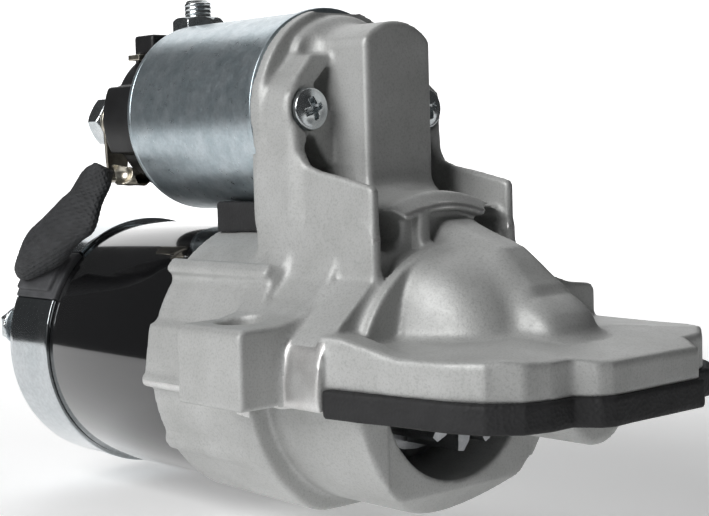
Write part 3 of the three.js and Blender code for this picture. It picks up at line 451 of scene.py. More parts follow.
CAST = cast_material()
MACHINED = metal("machined_aluminium", (0.66, 0.65, 0.64), (0.8, 0.8, 0.79), (0.32, 0.48), grain=0.4,
                 depth=0.01, patch=6, metallic=0.8)
ZINC = metal("zinc_plate", (0.45, 0.53, 0.57), (0.60, 0.67, 0.71), (0.20, 0.42), grain=0.8, depth=0.016,
             patch=5, metallic=0.88)
COVER_ZINC = metal("cover_zinc", (0.56, 0.60, 0.62), (0.66, 0.69, 0.71), (0.08, 0.16), grain=1.2,
                   depth=0.006, patch=14)
BOLT_ZINC = metal("fastener_zinc", (0.60, 0.64, 0.66), (0.78, 0.81, 0.82), (0.14, 0.30), grain=0.5,
                  depth=0.008, patch=3)
STEEL = metal("machined_steel", (0.34, 0.35, 0.36), (0.50, 0.51, 0.52), (0.22, 0.40), grain=0.5,
              depth=0.012, patch=7)
LAMINATED = metal("laminations", (0.16, 0.155, 0.15), (0.30, 0.29, 0.28), (0.35, 0.55), grain=0.5,
                  depth=0.05, stretch=(6, 0.4, 0.4))
TINNED = metal("tinned_copper", (0.52, 0.48, 0.40), (0.70, 0.66, 0.57), (0.22, 0.40), grain=0.6,
               depth=0.02, patch=4)
COPPER = metal("enamelled_copper", (0.50, 0.20, 0.09), (0.72, 0.34, 0.17), (0.2, 0.4), grain=0.6,
               depth=0.04, patch=5)
BRONZE = metal("sintered_bronze", (0.36, 0.25, 0.11), (0.54, 0.39, 0.18), (0.35, 0.55), grain=0.3,
               depth=0.02)
FERRITE = metal("ground_ferrite", (0.03, 0.031, 0.034), (0.06, 0.061, 0.066), (0.45, 0.7), metallic=0.0,
                grain=0.4, depth=0.02)
CARBON = metal("copper_graphite", (0.02, 0.019, 0.019), (0.05, 0.043, 0.04), (0.5, 0.75), metallic=0.1,
               grain=0.3, depth=0.02)
PHENOLIC = metal("black_phenolic", (0.007, 0.007, 0.0075), (0.014, 0.014, 0.015), (0.34, 0.52),
                 metallic=0.0, grain=0.5, depth=0.015)
FOAM = rubber_material("foam_rubber", (0.014, 0.014, 0.015), 0.9, 0.12)
RUBBER = rubber_material("moulded_rubber", (0.055, 0.056, 0.06), 0.6, 0.03)
SLEEVE = rubber_material("braided_sleeve", (0.022, 0.023, 0.025), 0.45, 0.08)
PAINT = paint_material()
BY_SLOT = {
    "cast_aluminium": CAST, "zinc_plate": ZINC, "fastener_zinc": BOLT_ZINC, "black_paint": PAINT,
    "black_phenolic": PHENOLIC, "foam_rubber": FOAM, "moulded_rubber": RUBBER, "steel": STEEL,
    "laminations": LAMINATED, "ferrite": FERRITE, "copper": COPPER, "bronze": BRONZE, "carbon": CARBON,
    "braided_sleeve": SLEEVE, "tinned_copper": TINNED,
}

for subpart in frame["record"]["subparts"]:
    shown = bpy.data.objects[subpart["node"]]
    shown.data.materials.clear()
    shown.data.materials.append(BY_SLOT[subpart["material_slot"]])


# ---- drive-end housing ---------------------------------------------------------------------------

PLATE_EDGE = [
    (11, -39.5), (34, -36.5), (46, -34.5), (54, -31.5), (60, -26), (61.8, -20), (61.8, -13.2), (66.6, -9.6),
    (68, -7), (68.2, 23), (61, 28.5), (60, 36), (53, 45.5), (47, 50), (35, 50.5), (11, 55.5)]
RIBS = [
    (138, 41.3, 4.4, -60, -18), (171, 39.3, 13, -60, -20), (-176.5, 40.9, 3.4, -60, -24),
    (-149, 39.2, 4, -60, -19), (42, 41.3, 4.4, -60, -18), (9, 39.3, 13, -60, -20),
    (-3.5, 40.9, 3.4, -60, -24), (-31, 39.2, 4, -60, -19)]
WALL_SIDE = [
    (-30, 20), (-30, 61), (-27.4, 70.5), (-26.2, 71.6), (-14.6, 69.4), (-14.1, 60.6), (-13.4, 55.6),
    (-10.5, 52.6), (-6.2, 51.1), (1.7, 49.7), (12.2, 47.4), (13, 46.2), (13, 20)]
CREST = [
    (8, 38.2), (13.4, 38.2), (20, 35.6), (25.5, 33.9), (29.7, 32.3), (33.7, 29), (36.7, 26.3), (39.8, 23.8),
    (41.7, 21.6), (48.5, 18.5), (51.3, 16.5), (54.5, 13), (54.5, 3), (8, 3)]
SLOT = [
    (21.9, 43.5), (21.9, 57), (20.6, 59.2), (18.6, 59.9), (16.8, 59.2), (15.2, 56), (13, 53), (11.1, 51.2),
    (11.1, 43.5)]
WEB = [
    (24, 60), (24, 69.5), (22, 73.6), (19, 77), (17, 79.2), (10, 79.2), (10.5, 77.6), (12.2, 77.2),
    (17.2, 72.2), (17.6, 60)]


def barrel_and_nose(x, y, z):
    distance = np.sqrt(y * y + z * z)
    body = meet(distance - 37.6 - (x + 60) * 0.03, slab(x, -60, -17), 0.9)
    for angle, height, width, rear, front in RIBS:
        u, v = turn(y, z, angle)
        rib = brick(x, u, v, (rear, 30, -width / 2), (front, height, width / 2), 1.3)
        body = blend(body, rib, 1.6)
    chord = (x - 17) * 0.683 - (z + 25.5) * 0.73
    body = meet(body, -35.3 - z, 2.5)
    nose = meet(meet(distance - 33.6, slab(x, -20, 17), 0.6), chord, 0.6)
    return blend(body, nose, 0.8)


def pilot_and_neck(x, y, z):
    distance = np.sqrt(y * y + z * z)
    side = np.abs(y)
    flank = (side - 38) * 0.668 + (z - 13.7) * 0.744
    pilot = meet(meet(distance - 42.4, np.maximum(-3 - z, flank), 1.0), slab(x, -2, 13), 0.35)
    arch = meet(distance - 45.6, (distance - 42.4 + x - 13) * 0.7071, 0.4)
    deck = meet(np.maximum(arch, side - 23.8), np.maximum(slab(x, -30, 13), 20 - z), 0.3)
    walls = meet(polygon(x, z, WALL_SIDE), slab(side, 22, 24.3), 0.7)
    walls = np.maximum(walls, -30 - x)
    return blend(pilot, blend(deck, walls, 1.6), 0.6)


def tower_and_seat(x, y, z):
    side = np.abs(y)
    crown = np.sqrt(y * y + np.maximum(z - 72.2, 0) ** 2) - 15.2
    column = meet(meet(side - 11, crown, 0.8), np.maximum(slab(x, -28, -2.4), 38 - z), 0.9)
    from_axis = np.sqrt(y * y + (z - SOLENOID_Z) ** 2)
    hub = meet(meet(from_axis - 23.6, side - 17.2, 3), np.maximum(slab(x, -28, -21.6), 56 - z), 1.5)
    disc = meet(from_axis - 26.3, slab(x, -28.1, -24.4), 0.5)
    web = meet(polygon(side, z, WEB, 0.5), slab(x, -28, -15.2), 1.0)
    seat = brick(x, side, z, (-28, 9, 40), (-15.2, 24.3, SOLENOID_Z), 0.6)
    boss = meet(tube(side, z, 19.4, SOLENOID_Z, 6.3), slab(x, -28, -15.2), 0.6)
    body = blend(column, hub, 5)
    body = blend(body, disc, 0.8)
    return blend(body, blend(web, blend(seat, boss, 0.5), 0.6), 1.5)


def lugs(x, y, z):
    left = polygon(y, z, [
        (-22, -2.7), (-54, -2.7), (-54, 14.6), (-52.6, 16), (-42, 16.2), (-36, 17.5), (-31, 20.6), (-27, 25),
        (-24, 30.5), (-20, 30.5)])
    right = polygon(y, z, [
        (22, -2.7), (55.8, -2.7), (55.8, 17), (54.4, 19), (46, 20), (33.6, 23.9), (28, 27), (24, 31),
        (20, 31)])
    left = meet(left, slab(x, -24.5, 0), 0.7)
    right = meet(right, slab(x, -11.5, 12.9), 0.7)
    return left, right


def dome_and_horn(x, y, z, swell=0.0):
    """Ball-shaped hood over the pinion with a flat-topped horn that falls to the front."""
    forward_x = np.maximum(x - 13, 0) * 1.03
    ball = np.sqrt(forward_x ** 2 + y * y + z * z) - 33.0 - swell
    plan = (np.sqrt((np.maximum(x - 8, 0) / 44) ** 2 + ((y - 3) / 25) ** 2) - 1) * 24 + 0.2 * (z - 13) - swell
    half_width = 6.2 - 0.13 * np.clip(x - 13, 0, 25) + 0.36 * (38.1 - z)
    horn = meet(polygon(x, z, CREST) - swell, np.abs(y - 4.8) - half_width - swell, 3.6)
    return blend(meet(ball, plan, 4), meet(horn, plan, 3), 3)


def hood(x, y, z):
    top = np.maximum(z - 13.2, np.maximum(
        z - 10.8 - 0.0875 * (y + 36), np.maximum(z - 10 - 0.14 * (67 - x), z - 10.8 - 0.0875 * (50 - y))))
    plate = meet(polygon(x, y, PLATE_EDGE, 0.6), np.maximum(2 - z, top), 0.9)
    strip_top = z - np.interp(x, (12, 17, 27, 34), (14.4, 14.2, 12.1, 10.5))
    strip = meet(meet(polygon(x, y, PLATE_EDGE, 0.6), y + 31.5, 0.6), np.maximum(3 - z, strip_top), 0.9)
    hood_body = np.maximum(dome_and_horn(x, y, z), np.maximum(10 - x, 3 - z))
    boss = meet(np.sqrt(y * y + z * z) - 10.5, slab(x, 36, 59), 1.4)
    boss = np.maximum(boss, z - 9)
    return blend(blend(blend(plate, strip, 0.8), hood_body, 2.2), boss, 1.5)


def bolt_place(degrees):
    """Y and Z of a through bolt's axis."""
    return BOLT_CIRCLE * math.cos(math.radians(degrees)), BOLT_CIRCLE * math.sin(math.radians(degrees))


def housing(x, y, z):
    side = np.abs(y)
    distance = np.sqrt(y * y + z * z)
    body = blend(barrel_and_nose(x, y, z), pilot_and_neck(x, y, z), 2.5)
    left, right = lugs(x, y, z)
    body = blend(blend(body, left, 2.2), right, 2.2)
    body = blend(body, tower_and_seat(x, y, z), 5)
    body = blend(body, hood(x, y, z), 1.2)
    neck_in = np.maximum(np.clip(x - 12, 0, 3) * 0.65 * (z > 4), np.clip(x - 17, 0, 3) * 0.8)
    opening = 24.35 - neck_in - np.clip(x - 20, 0, 13) * 0.34 - np.clip(x - 33, 0, 7) * 0.6
    bore = np.where(x < -34.6, distance - 27.3, distance - opening)
    bore = np.maximum(bore, slab(x, -62, 39.5))
    nose_hole = np.maximum(distance - 8.3, slab(x, 30, 57.3))
    under = brick(x, y, z, (16, -24.3, -60), (39.5, 24.3, 0.5), 0.1)
    lever_room = brick(x, y, z, (-29, -20.3, 0), (-8, 20.3, 36), 1)
    tower_room = brick(x, y, z, (-27.9, -8.2, 30), (-6, 8.2, 82), 1)
    for tool in (bore, nose_hole, under, lever_room, tower_room):
        body = np.maximum(body, -tool)
    slot = np.maximum(polygon(side, z, SLOT, 0.0), slab(x, -26, -8.5))
    body = carve(body, slot, 0.7)
    for centre in SCREWS_Y:
        head = np.maximum(tube(y, z, centre, SOLENOID_Z, 5.75), slab(x, -15.0, -5))
        body = carve(body, np.maximum(tube(y, z, centre, SOLENOID_Z, 2.6), slab(x, -29, -10)), 0.2)
        body = carve(body, head, 0.5)
    body = np.maximum(body, -np.maximum(tube(y, z, 0, SOLENOID_Z, 10), slab(x, -29, -20)))
    body = np.maximum(body, -np.maximum(tube(y, z, 0, SOLENOID_Z, 27.3), slab(x, -32, -28.1)))
    recess = np.maximum(np.maximum(np.abs(y) - 22, distance - 40.9), np.maximum(24.5 - z, slab(x, 10.4, 14)))
    recess = np.maximum(recess, 1.8 - np.abs(y + 7.5))
    recess = np.maximum(recess, -dome_and_horn(x, y, z, 0.3))
    body = carve(body, recess, 0.3)
    for centre in (-17.3, 17.3):
        body = carve(body, np.maximum(tube(y, z, centre, 36.7, 4.75), slab(x, -4, 16)), 0.3)
    for hole_x, hole_y in LUG_HOLES:
        body = carve(body, np.maximum(tube(x, y, hole_x, hole_y, 5.6), slab(z, -6, 26)), 0.7)
    for angle in BOLT_ANGLES.values():
        bolt_y, bolt_z = bolt_place(angle)
        body = np.maximum(body, -np.maximum(tube(y, z, bolt_y, bolt_z, 2.9), slab(x, -62, -33)))
    pivot = np.maximum(tube(x, z, PIVOT_X, PIVOT_Z, 2.3), side - 15)
    return np.maximum(body, -pivot)


def machined_and_edge_highlight(centres):
    """Faces of the pilot's turned rim and flanks, and of the lug seats, which take the machined finish; the
    thin band at the rim's front edge is also lightened as a painted highlight where light catches that edge.
    """
    x, y, z = centres.T
    distance = np.hypot(y, z)
    # Painted highlight: this thin band at the pilot's front edge is made lighter for the light it catches, on
    # top of its turned finish.
    turned_rim_highlight = (np.abs(distance - 42.3) < 0.55) & (x > 12.5) & (z > 33)
    side_rim = (np.abs(distance - 42.3) < 0.45) & (z < 13) & (z > -3.2) & (x > -1) & (y < 0)
    seats = (z < -2.4) & (np.abs(y) > 38) & (x < 13)
    return turned_rim_highlight | side_rim | seats


HOUSING_STEP = 0.75
housing_points, housing_faces = surface(housing, (-61.5, -56, -40), (70, 57.5, 91), HOUSING_STEP)
# The selected faces get the lighter machined finish; the thin rim band among them is also a painted
# highlight.
piece("housing_casting", housing_points, housing_faces, "housing", [CAST, MACHINED],
      nodes=("drive_end_housing",), slot="cast_aluminium", split=machined_and_edge_highlight)


# ---- motor body ----------------------------------------------------------------------------------


def ring_piece(name, profile, body, material, nodes, slot, segments=160, centre=(0.0, 0.0)):
    points, faces = lathe(rounded(profile), segments, centre)
    return piece(name, points, faces, body, material, nodes, slot, crease=32)


ring_piece("yoke_tube", [
    (-113.3, 33.4, 0.3), (-113.3, YOKE_RADIUS, 0.5), (-60.3, YOKE_RADIUS, 0.4), (-60.3, 33.4, 0.3)],
    "housing", PAINT, ("yoke",), "black_paint")

COVER_WALL = rounded([
    (-136.2, 32, 0), (-136.2, 34.6, 0.9), (-135, 36.4, 1.2), (-133.2, COVER_RADIUS, 0.6),
    (-115.1, COVER_RADIUS, 0.15), (-114.9, 36.9, 0.15), (-113.6, 36.9, 0.25), (-113.6, 34.4, 0.3),
    (-132, 34.4, 0.4), (-134.2, 32, 0.4)])
COVER_END = rounded([
    (-137.7, 0, 0), (-137.7, 33, 1.6), (-136.6, 35.3, 1.5), (-135.3, 36.3, 0.3), (-135.3, 33.6, 0.2),
    (-135.5, 9.2, 0), (-129, 9.2, 0.4), (-129, 7.3, 0.3), (-136, 7.3, 0), (-136, 0, 0)])
COVER_BOSS = rounded([(-139.1, 0, 0), (-139.1, 9.5, 0.7), (-137.2, 11.5, 0.8), (-137.2, 0, 0)])


def partial_lathe(profile, segments, start, sweep):
    """A closed profile turned part of the way round, its two ends closed by strips of quads."""
    points, faces = lathe(profile, segments, start=start, sweep=sweep)
    count = len(profile)
    last = segments * count
    pairs = [(k, k + 1, count - 2 - k, count - 1 - k) for k in range((count - 1) // 2)]
    ends = [tuple(pair) for pair in pairs] + [tuple(last + k for k in reversed(pair)) for pair in pairs]
    return points, np.concatenate([faces, np.array(ends)])


def together(*meshes):
    """Several sets of points and quads as one."""
    points, faces, offset = [], [], 0
    for some_points, some_faces in meshes:
        points.append(np.asarray(some_points))
        faces.append(np.asarray(some_faces) + offset)
        offset += len(some_points)
    return np.concatenate(points), np.concatenate(faces)


cover = together(
    partial_lathe(COVER_WALL, 150, 156.6, 333.8), lathe(COVER_END, 160), lathe(COVER_BOSS, 64))
piece("cover_shell", *cover, "housing", COVER_ZINC, ("rear_cover",), "zinc_plate", crease=32)


def hexagon(u, v, radius):
    """Field of a hexagon with a corner on the u axis; radius is measured to the corners."""
    flat = radius * math.cos(math.radians(30))
    a = np.abs(v)
    b = np.abs(u * math.cos(math.radians(30)) + v * 0.5)
    c = np.abs(u * math.cos(math.radians(30)) - v * 0.5)
    return np.maximum(a, np.maximum(b, c)) - flat


def nut(u, v, w, low, high, bore, chamfer=0.9):
    """Hexagon nut along w, its corners chamfered at both ends."""
    distance = np.sqrt(u * u + v * v)
    cone = (distance - NUT_CORNER + chamfer * 0.2 + np.maximum(low + chamfer - w, w - high + chamfer)) * 0.75
    body = meet(meet(hexagon(u, v, NUT_CORNER), cone, 0.15), slab(w, low, high), 0.3)
    countersink = distance - bore - np.maximum(np.maximum(low + 0.8 - w, w - high + 0.8), 0)
    return np.maximum(body, -countersink)


def thread(u, v, w, radius, pitch, low, high, depth=0.32):
    """Threaded rod along w."""
    turns = w / pitch - np.arctan2(v, u) / (2 * math.pi)
    tooth = np.abs(turns - np.floor(turns) - 0.5) * 2
    tip = np.maximum(low + 0.9 - w, np.maximum(w - high + 0.9, 0))
    return np.maximum(np.sqrt(u * u + v * v) - radius + depth * tooth + tip, slab(w, low, high)) * 0.85


def bolt(x, y, z):
    distance = np.sqrt(y * y + z * z)
    head = meet(meet(hexagon(z, y, 5.9), slab(x, -142, -138.9), 0.35), distance - 6.6 - x - 141.3, 0.3)
    washer = meet(distance - 6.3, slab(x, -139.1, -138.1), 0.3)
    dish = np.sqrt((x + 148.3) ** 2 + y * y + z * z) - 7.2
    shank = np.maximum(distance - 2.4, slab(x, -139, -35))
    return blend(np.maximum(blend(head, washer, 0.3), -dish), shank, 0.2)


for side, angle in BOLT_ANGLES.items():
    moulded(f"cover_bolt_{side}", bolt, (-142.6, -7, -7), (-34.6, 7, 7), 0.4, BOLT_ZINC,
            f"through_bolt_{side}", "fastener_zinc", 50, (0, *bolt_place(angle)))


def grommet(x, y, z):
    distance = np.sqrt(y * y + z * z)
    u, v = turn(y, z, GROMMET_ANGLE)
    edge = (np.abs(v) - u * math.tan(math.radians(12.5))) * 0.976
    wedge = meet(meet(edge, slab(distance, 33.8, 37.0), 0.4), slab(x, -135.1, -113.6), 0.5)
    pad_edge = (np.abs(v) - u * math.tan(math.radians(9.5))) * 0.976
    pad = meet(meet(pad_edge, slab(distance, 35.6, 38.6), 0.8), slab(x, -134, -116), 0.9)
    return blend(wedge, pad, 0.6)


moulded("cable_grommet", grommet, (-136, -35, 11), (-112.5, -21, 30), 0.35, RUBBER, "lead_grommet",
        "moulded_rubber", 50)


def seal_block(x, y, z):
    barrel = np.sqrt(y * y + z * z) - 37.95 - (np.clip(x, -60, -17) + 60) * 0.03
    solenoid = tube(y, z, 0, SOLENOID_Z, 26.3)
    block = brick(x, y, z, (-58, -16, 30), (-30.8, 16, 43), 0.8)
    return carve(carve(block, barrel, 0.5), solenoid, 0.5)


moulded("lever_opening_block", seal_block, (-59, -17, 32), (-30, 17, 44), 0.5, FOAM, "lever_seal",
        "foam_rubber", 50)


def seal_strip(x, y, z):
    outer = [(13.4 if a < 13 else a + 1.2 * math.copysign(1, a - 40), b * 1.045) for a, b in PLATE_EDGE]
    inner = [(a if a < 14 else 13.4 + (a - 13.4) * 0.94, b * 0.83) for a, b in outer]
    waves = 0.25 * np.sin(x / 5.3 + y / 7.1) + 0.15 * np.sin(x / 2.1 - y / 3.3)
    ring = np.maximum(polygon(x, y, outer, 0.3), -polygon(x, y, inner, 0.3))
    return meet(ring + waves * 0.6, slab(z, -4.2, 2.5), 0.8)


moulded("plate_seal", seal_strip, (11.5, -44, -5.2), (72, 60, 3.4), 0.6, FOAM, "bell_seal",
        "foam_rubber", 60)

# ---- solenoid ------------------------------------------------------------------------------------

ring_piece("solenoid_can", [
    (-84.1, 24.2, 0.2), (-84.1, 25.9, 0.5), (-82.7, 25.9, 0.15), (-82.5, 25.75, 0.1), (-82.2, 26, 0.15),
    (-30.9, 26, 0.1), (-30.6, 26.6, 0.3), (-28.4, 26.6, 0.4), (-28.4, 9.4, 0.3), (-33, 9.4, 0.3),
    (-33, 24.2, 0.5)], "housing", ZINC, ("solenoid_case",), "zinc_plate", segments=200,
    centre=(0.0, SOLENOID_Z))


def cap(x, y, z):
    z = z - SOLENOID_Z
    distance = np.sqrt(y * y + z * z)
    body = meet(distance - 20.4, slab(x, -99.6, -84.4), 1.4)
    turned_rim_highlight = meet(distance - 25, slab(x, -85.5, -84.4), 0.35)
    angle = np.degrees(np.arctan2(z, y)) % 360
    wedge = np.maximum(153 - angle, angle - 208) * math.radians(1) * distance
    boss = meet(meet(wedge, distance - 21.4, 1.0), np.maximum(slab(x, -103.5, -88), 9 - distance), 0.9)
    stud_boss = brick(x, y, z, (-99.4, -1.7, 8), (-87, 14.3, 22), 1.3)
    connector = brick(x, y, z, (-97, -14, 6), (-87.5, -8, 23.6), 0.9)
    whole = blend(blend(blend(blend(body, turned_rim_highlight, 0.7), boss, 0.8), stud_boss, 1.0), connector, 1.0)
    whole = np.maximum(whole, -np.maximum(distance - 18.4, slab(x, -98.1, -80)))
    whole = carve(whole, tube(x, y, BATTERY_X, BATTERY_Y, 4.3) + np.maximum(15 - z, 0) * 3, 0.3)
    hole = np.maximum(tube(y, z, MOTOR_TERMINAL_Y, MOTOR_TERMINAL_RISE, 3.7), slab(x, -106, -96))
    slit = brick(x, y, z, (-95.3, -19, 16.1), (-89.2, -9.7, 18.3), 0.1)
    return carve(np.maximum(whole, -slit), hole, 0.3)


moulded("solenoid_end_cap", cap, (-104.5, -26, 40), (-83.5, 26, 92), 0.5, PHENOLIC, "solenoid_cap",
        "black_phenolic", 50)


def battery_stud(x, y, z):
    z = z - SOLENOID_Z
    rod = thread(x - BATTERY_X, y - BATTERY_Y, z, 4, 1.25, 13.5, 34.2)
    contact = brick(x, y, z, (-97.8, 2.3, -8), (-95.2, 9.9, 14.4), 0.3)
    head = brick(x, y, z, (-97.8, 2.3, 12.4), (-89.3, 10.3, 14.4), 0.3)
    return np.minimum(rod, np.minimum(contact, head))


def battery_nut(x, y, z):
    return nut(x - BATTERY_X, y - BATTERY_Y, z - SOLENOID_Z, 22.9, 29.2, 4.3)


moulded("battery_stud_threaded", battery_stud, (-98.6, 1.4, 57), (-88.4, 11.2, 101), 0.25, BOLT_ZINC,
        "battery_stud", "fastener_zinc", 40)
moulded("battery_nut_hex", battery_nut, (-101.5, -1.5, 88.4), (-85, 14.2, 96), 0.25, BOLT_ZINC,
        "battery_nut", "fastener_zinc", 24)


def motor_stud(x, y, z):
    z = z - SOLENOID_Z
    rod = thread(z - MOTOR_TERMINAL_RISE, y - MOTOR_TERMINAL_Y, x, 3.4, 1.0, -112, -96, 0.28)
    return np.minimum(rod, brick(x, y, z, (-97.8, -17, -5), (-95.2, -2, 5.2), 0.3))


def motor_nut(x, y, z):
    return nut(y - MOTOR_TERMINAL_Y, z - 65.8, x, -111.5, -105.4, 3.7)


moulded("motor_stud_threaded", motor_stud, (-112.6, -18.6, 60.4), (-94.6, -1.4, 72), 0.25, BOLT_ZINC,
        "motor_terminal_stud", "fastener_zinc", 40)
moulded("motor_nut_hex", motor_nut, (-112, -22.4, 58.2), (-105, -6.4, 73.4), 0.25, BOLT_ZINC,
        "motor_terminal_nut", "fastener_zinc", 24)


def screw(x, y, z):
    distance = np.sqrt(y * y + z * z)
    flange = meet(distance - 5.15, slab(x, -14.7, -13.1), 0.35)
    crown = np.sqrt((x + 18.5) ** 2 + y * y + z * z) - 6.7
    head = blend(flange, np.maximum(crown, -14.5 - x), 0.5)
    shank = thread(y, z, x, 2.2, 0.8, -32.4, -14, 0.2)
    u, v = turn(y, z, 20)
    reach = np.maximum(-13.6 - x, 0)
    arm_a = np.maximum(np.abs(u) - 2.7 + reach, np.abs(v) - 0.75)
    arm_b = np.maximum(np.abs(v) - 2.7 + reach, np.abs(u) - 0.75)
    cross = np.maximum(np.minimum(arm_a, arm_b), -14.2 - x)
    return np.minimum(carve(head, cross, 0.12), shank)


for side, centre in zip(("left", "right"), SCREWS_Y):
    moulded(f"flange_screw_{side}", screw, (-33, -5.8, -5.8), (-11, 5.8, 5.8), 0.2, BOLT_ZINC,
            f"solenoid_screw_{side}", "fastener_zinc", 45, (0, centre, SOLENOID_Z))


def coil_spring(low, high, radius, wire, turns, per_turn=36, around=10):
    """Points and quads of a round wire wound about X, closed at both ends."""
    count = turns * per_turn + 1
    angle = 2 * math.pi * np.arange(count) / per_turn
    outward = np.stack([np.zeros(count), np.cos(angle), np.sin(angle)], axis=1)
    centre = outward * radius
    centre[:, 0] = np.linspace(low, high, count)
    turn_about = 2 * math.pi * np.arange(around) / around
    points = (centre[:, None, :] + outward[:, None, :] * (wire * np.cos(turn_about))[None, :, None]
              + np.array([1.0, 0, 0]) * (wire * np.sin(turn_about))[None, :, None]).reshape(-1, 3)
    return points, closed_tube(count, around)[:, [0, 3, 2, 1]]


SPRING_ENDS = (-61.4, -41.6)
SPRING_RADIUS, SPRING_WIRE, SPRING_TURNS = 4.2, 0.55, 6
spring_points, spring_faces = coil_spring(*SPRING_ENDS, SPRING_RADIUS, SPRING_WIRE, SPRING_TURNS)
spring = piece("plunger_spring_coil", spring_points + (0, 0, SOLENOID_Z), spring_faces, None, STEEL,
               ("plunger_spring",), "steel")
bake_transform(spring)

# ---- motor lead ----------------------------------------------------------------------------------

LEAD = [
    ((-97, -25.4, 52.6), (0.92, 0, -0.39), 2.9, 2.9), ((-98.8, -26.6, 49.8), (0.96, 0, -0.29), 6, 3.1),
    ((-100.9, -29, 44.8), (1, 0, -0.05), 7.6, 3.3), ((-102.3, -30.9, 42), (1, 0.03, -0.05), 9.4, 3.5),
    ((-104.6, -33.2, 37.8), (1, 0.06, 0), 12.6, 3.7), ((-107.2, -34.6, 34.6), (0.99, 0.11, 0.03), 14.1, 3.8),
    ((-110.6, -35.2, 31), (0.98, 0.16, 0.13), 14.1, 3.8),
    ((-116.7, -34.4, 27.2), (0.94, 0.23, 0.23), 12.6, 3.7),
    ((-122.6, -32.2, 24.5), (0.91, 0.3, 0.27), 10.1, 3.4)]


def smooth(table, steps):
    """Rows of a table joined by a Catmull-Rom spline."""
    rows = np.array(table)
    rows = np.concatenate([2 * rows[:1] - rows[1:2], rows, 2 * rows[-1:] - rows[-2:-1]])
    made = []
    for k in range(1, len(rows) - 2):
        a, b, c, d = rows[k - 1:k + 3]
        for t in np.arange(steps) / steps:
            made.append(0.5 * (2 * b + (c - a) * t + (2 * a - 5 * b + 4 * c - d) * t * t
                               + (3 * b - a - 3 * c + d) * t ** 3))
    made.append(rows[-2])
    return np.array(made)


def braided_lead(around=168, steps=44):
    """Points and quads of the sleeve, whose strands stand out of its surface."""
    rows = smooth([(*centre, *across, wide, thick) for centre, across, wide, thick in LEAD], steps)
    centre = rows[:, :3]
    path = np.gradient(centre, axis=0)
    wide = rows[:, 3:6] / np.linalg.norm(rows[:, 3:6], axis=1, keepdims=True)
    thick = np.cross(path, wide)
    thick /= np.linalg.norm(thick, axis=1, keepdims=True)
    travelled = np.concatenate([[0], np.cumsum(np.linalg.norm(np.diff(centre, axis=0), axis=1))])
    angle = 2 * math.pi * np.arange(around) / around
    crossing = travelled[:, None] / 2.3
    turns = angle[None, :] / (2 * math.pi) * 14
    first, second = np.sin(math.pi * (turns + crossing)), np.sin(math.pi * (turns - crossing))
    over = np.sin(2 * math.pi * turns) * np.sin(2 * math.pi * crossing)
    relief = 0.34 * np.where(over > 0, np.abs(first), np.abs(second)) - 0.3
    fold = 0.35 * np.sin(3 * angle[None, :] + travelled[:, None] / 6)
    half_wide = rows[:, 6:7] + relief + fold * 0.6
    half_thick = rows[:, 7:8] + relief + fold
    points = (centre[:, None, :] + wide[:, None, :] * (np.cos(angle) * half_wide)[:, :, None]
              + thick[:, None, :] * (np.sin(angle) * half_thick)[:, :, None]).reshape(-1, 3)
    return points, closed_tube(len(centre), around)


piece("braided_motor_lead", *braided_lead(), "housing", SLEEVE, ("motor_lead",), "braided_sleeve", crease=80)


def lug_and_crimp(x, y, z):
    z = z - SOLENOID_Z
    ring = meet(tube(y, z, MOTOR_TERMINAL_Y, MOTOR_TERMINAL_RISE, 6.6), slab(x, -105.1, -103.9), 0.3)
    strap = meet(polygon(y, z, [(-20.4, -2), (-11.4, -4), (-13.5, -17.9), (-19.5, -17.9)]),
                 slab(x, -105.1, -103.9), 0.3)
    shelf = brick(x, y, z, (-105.1, -19.5, -17.9), (-88.5, -13.5, -16.7), 0.4)
    crimp = np.full(np.broadcast(x, y, z).shape, 1e3)
    places = [(-89.5, -17.5, -17.4, 1.6), (-91.8, -20.6, -16.2, 2.5), (-93.8, -23.4, -15.6, 3.0)]
    for (x0, y0, z0, r0), (x1, y1, z1, r1) in zip(places, places[1:]):
        span = np.array([x1 - x0, y1 - y0, z1 - z0])
        share = np.clip(((x - x0) * span[0] + (y - y0) * span[1] + (z - z0) * span[2]) / (span @ span), 0, 1)
        gap = np.sqrt((x - x0 - share * span[0]) ** 2 + (y - y0 - share * span[1]) ** 2
                      + (z - z0 - share * span[2]) ** 2)
        crimp = blend(crimp, gap - r0 - (r1 - r0) * share, 0.6)
    end = (x + 94.3) * -0.75 + (y + 24.0) * -0.6 + (z + 15.6) * -0.2
    crimp = meet(crimp, end, 0.4)
    dent = np.sqrt((x + 91.4) ** 2 + (y + 23.8) ** 2 + (z + 15.0) ** 2) - 3.1
    whole = blend(np.minimum(ring, strap), blend(shelf, carve(crimp, dent, 0.4), 0.8), 0.5)
    bore = np.maximum(tube(y, z, MOTOR_TERMINAL_Y, MOTOR_TERMINAL_RISE, 3.7), slab(x, -107, -102))
    return carve(whole, bore, 0.2)


def blade(x, y, z):
    return brick(x, y, z, (-95, -17.5, 82.55), (-89.5, -10, 84.15), 0.25)


moulded("lead_lug_crimped", lug_and_crimp, (-105.8, -28.5, 45), (-89, -7, 73), 0.3, TINNED, "lead_lug",
        "tinned_copper", 50)
moulded("signal_blade", blade, (-95.8, -18.2, 82), (-88.8, -9.4, 84.8), 0.2, TINNED, "signal_terminal",
        "tinned_copper", 40)

# ---- floor and light -----------------------------------------------------------------------------

FLOOR_Z = -0.0426
FLOOR_GLOW = 0.22


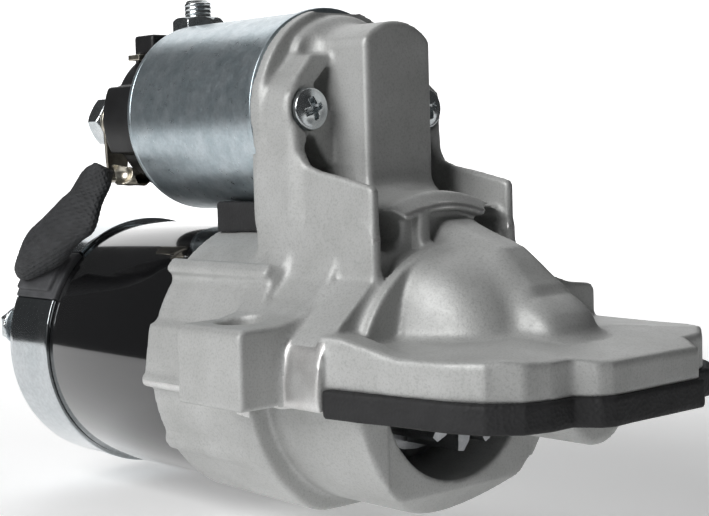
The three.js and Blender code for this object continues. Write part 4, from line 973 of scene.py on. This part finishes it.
def pale_sweep():
    """Floor that turns up into a backdrop square to the view, paler the farther it is."""
    made = Finish("pale_sweep")
    tone = made.ramp(made.noise(180, 3), [(0.3, 0.94), (0.7, 1.0)])
    split = made.tree.nodes.new("ShaderNodeSeparateXYZ")
    made.link(made.place, split.inputs["Vector"])
    glow = made.ramp(split.outputs["Y"], [(0.1, FLOOR_GLOW), (0.75, 1.0)])
    made.colour(tone)
    made.link(made.mix(glow, tone, 1.0, "MULTIPLY"), made.shader.inputs["Emission Color"])
    made.value("Emission Strength", 0.9)
    made.rough(made.noise(90, 2), 0.7, 0.8)
    path = [(-0.25, FLOOR_Z), (0.9, FLOOR_Z)]
    path += [(0.9 + 0.35 * math.sin(a), FLOOR_Z + 0.35 * (1 - math.cos(a)))
             for a in np.radians(np.arange(6, 91, 6))]
    path.append((1.25, 1.5))
    points = [(across, distance, height) for distance, height in path for across in (-0.75, 0.5)]
    faces = [(2 * k, 2 * k + 1, 2 * k + 3, 2 * k + 2) for k in range(len(path) - 1)]
    mesh = bpy.data.meshes.new("pale_sweep")
    mesh.from_pydata(points, [], faces)
    mesh.shade_smooth()
    mesh.materials.append(made.material)
    sweep = bpy.data.objects.new("pale_sweep", mesh)
    sweep.rotation_euler.z = math.radians(90) - AZIMUTH
    bpy.context.scene.collection.objects.link(sweep)
    return sweep


def area_light(name, place, aim, width, height, watts):
    light = bpy.data.lights.new(name, "AREA")
    light.shape = "RECTANGLE"
    light.size, light.size_y = width, height
    light.energy = watts
    lamp = bpy.data.objects.new(name, light)
    lamp.location = place
    lamp.rotation_euler = (Vector(aim) - Vector(place)).to_track_quat("-Z", "Y").to_euler()
    bpy.context.scene.collection.objects.link(lamp)


pale_sweep()
area_light("overhead", (-0.35, 0.32, 0.72), (-0.3, 0.25, 0), 1.1, 0.6, 1.5)
area_light("key", (-0.04, -0.74, 0.46), (-0.03, 0, 0.02), 0.6, 0.6, 6.6)
world = bpy.data.worlds.new("studio")
world.use_nodes = True
world.node_tree.nodes["Background"].inputs["Color"].default_value = (0.96, 0.98, 1, 1)
world.node_tree.nodes["Background"].inputs["Strength"].default_value = 0.05
bpy.context.scene.world = world
bpy.context.scene.view_settings.view_transform = "Standard"
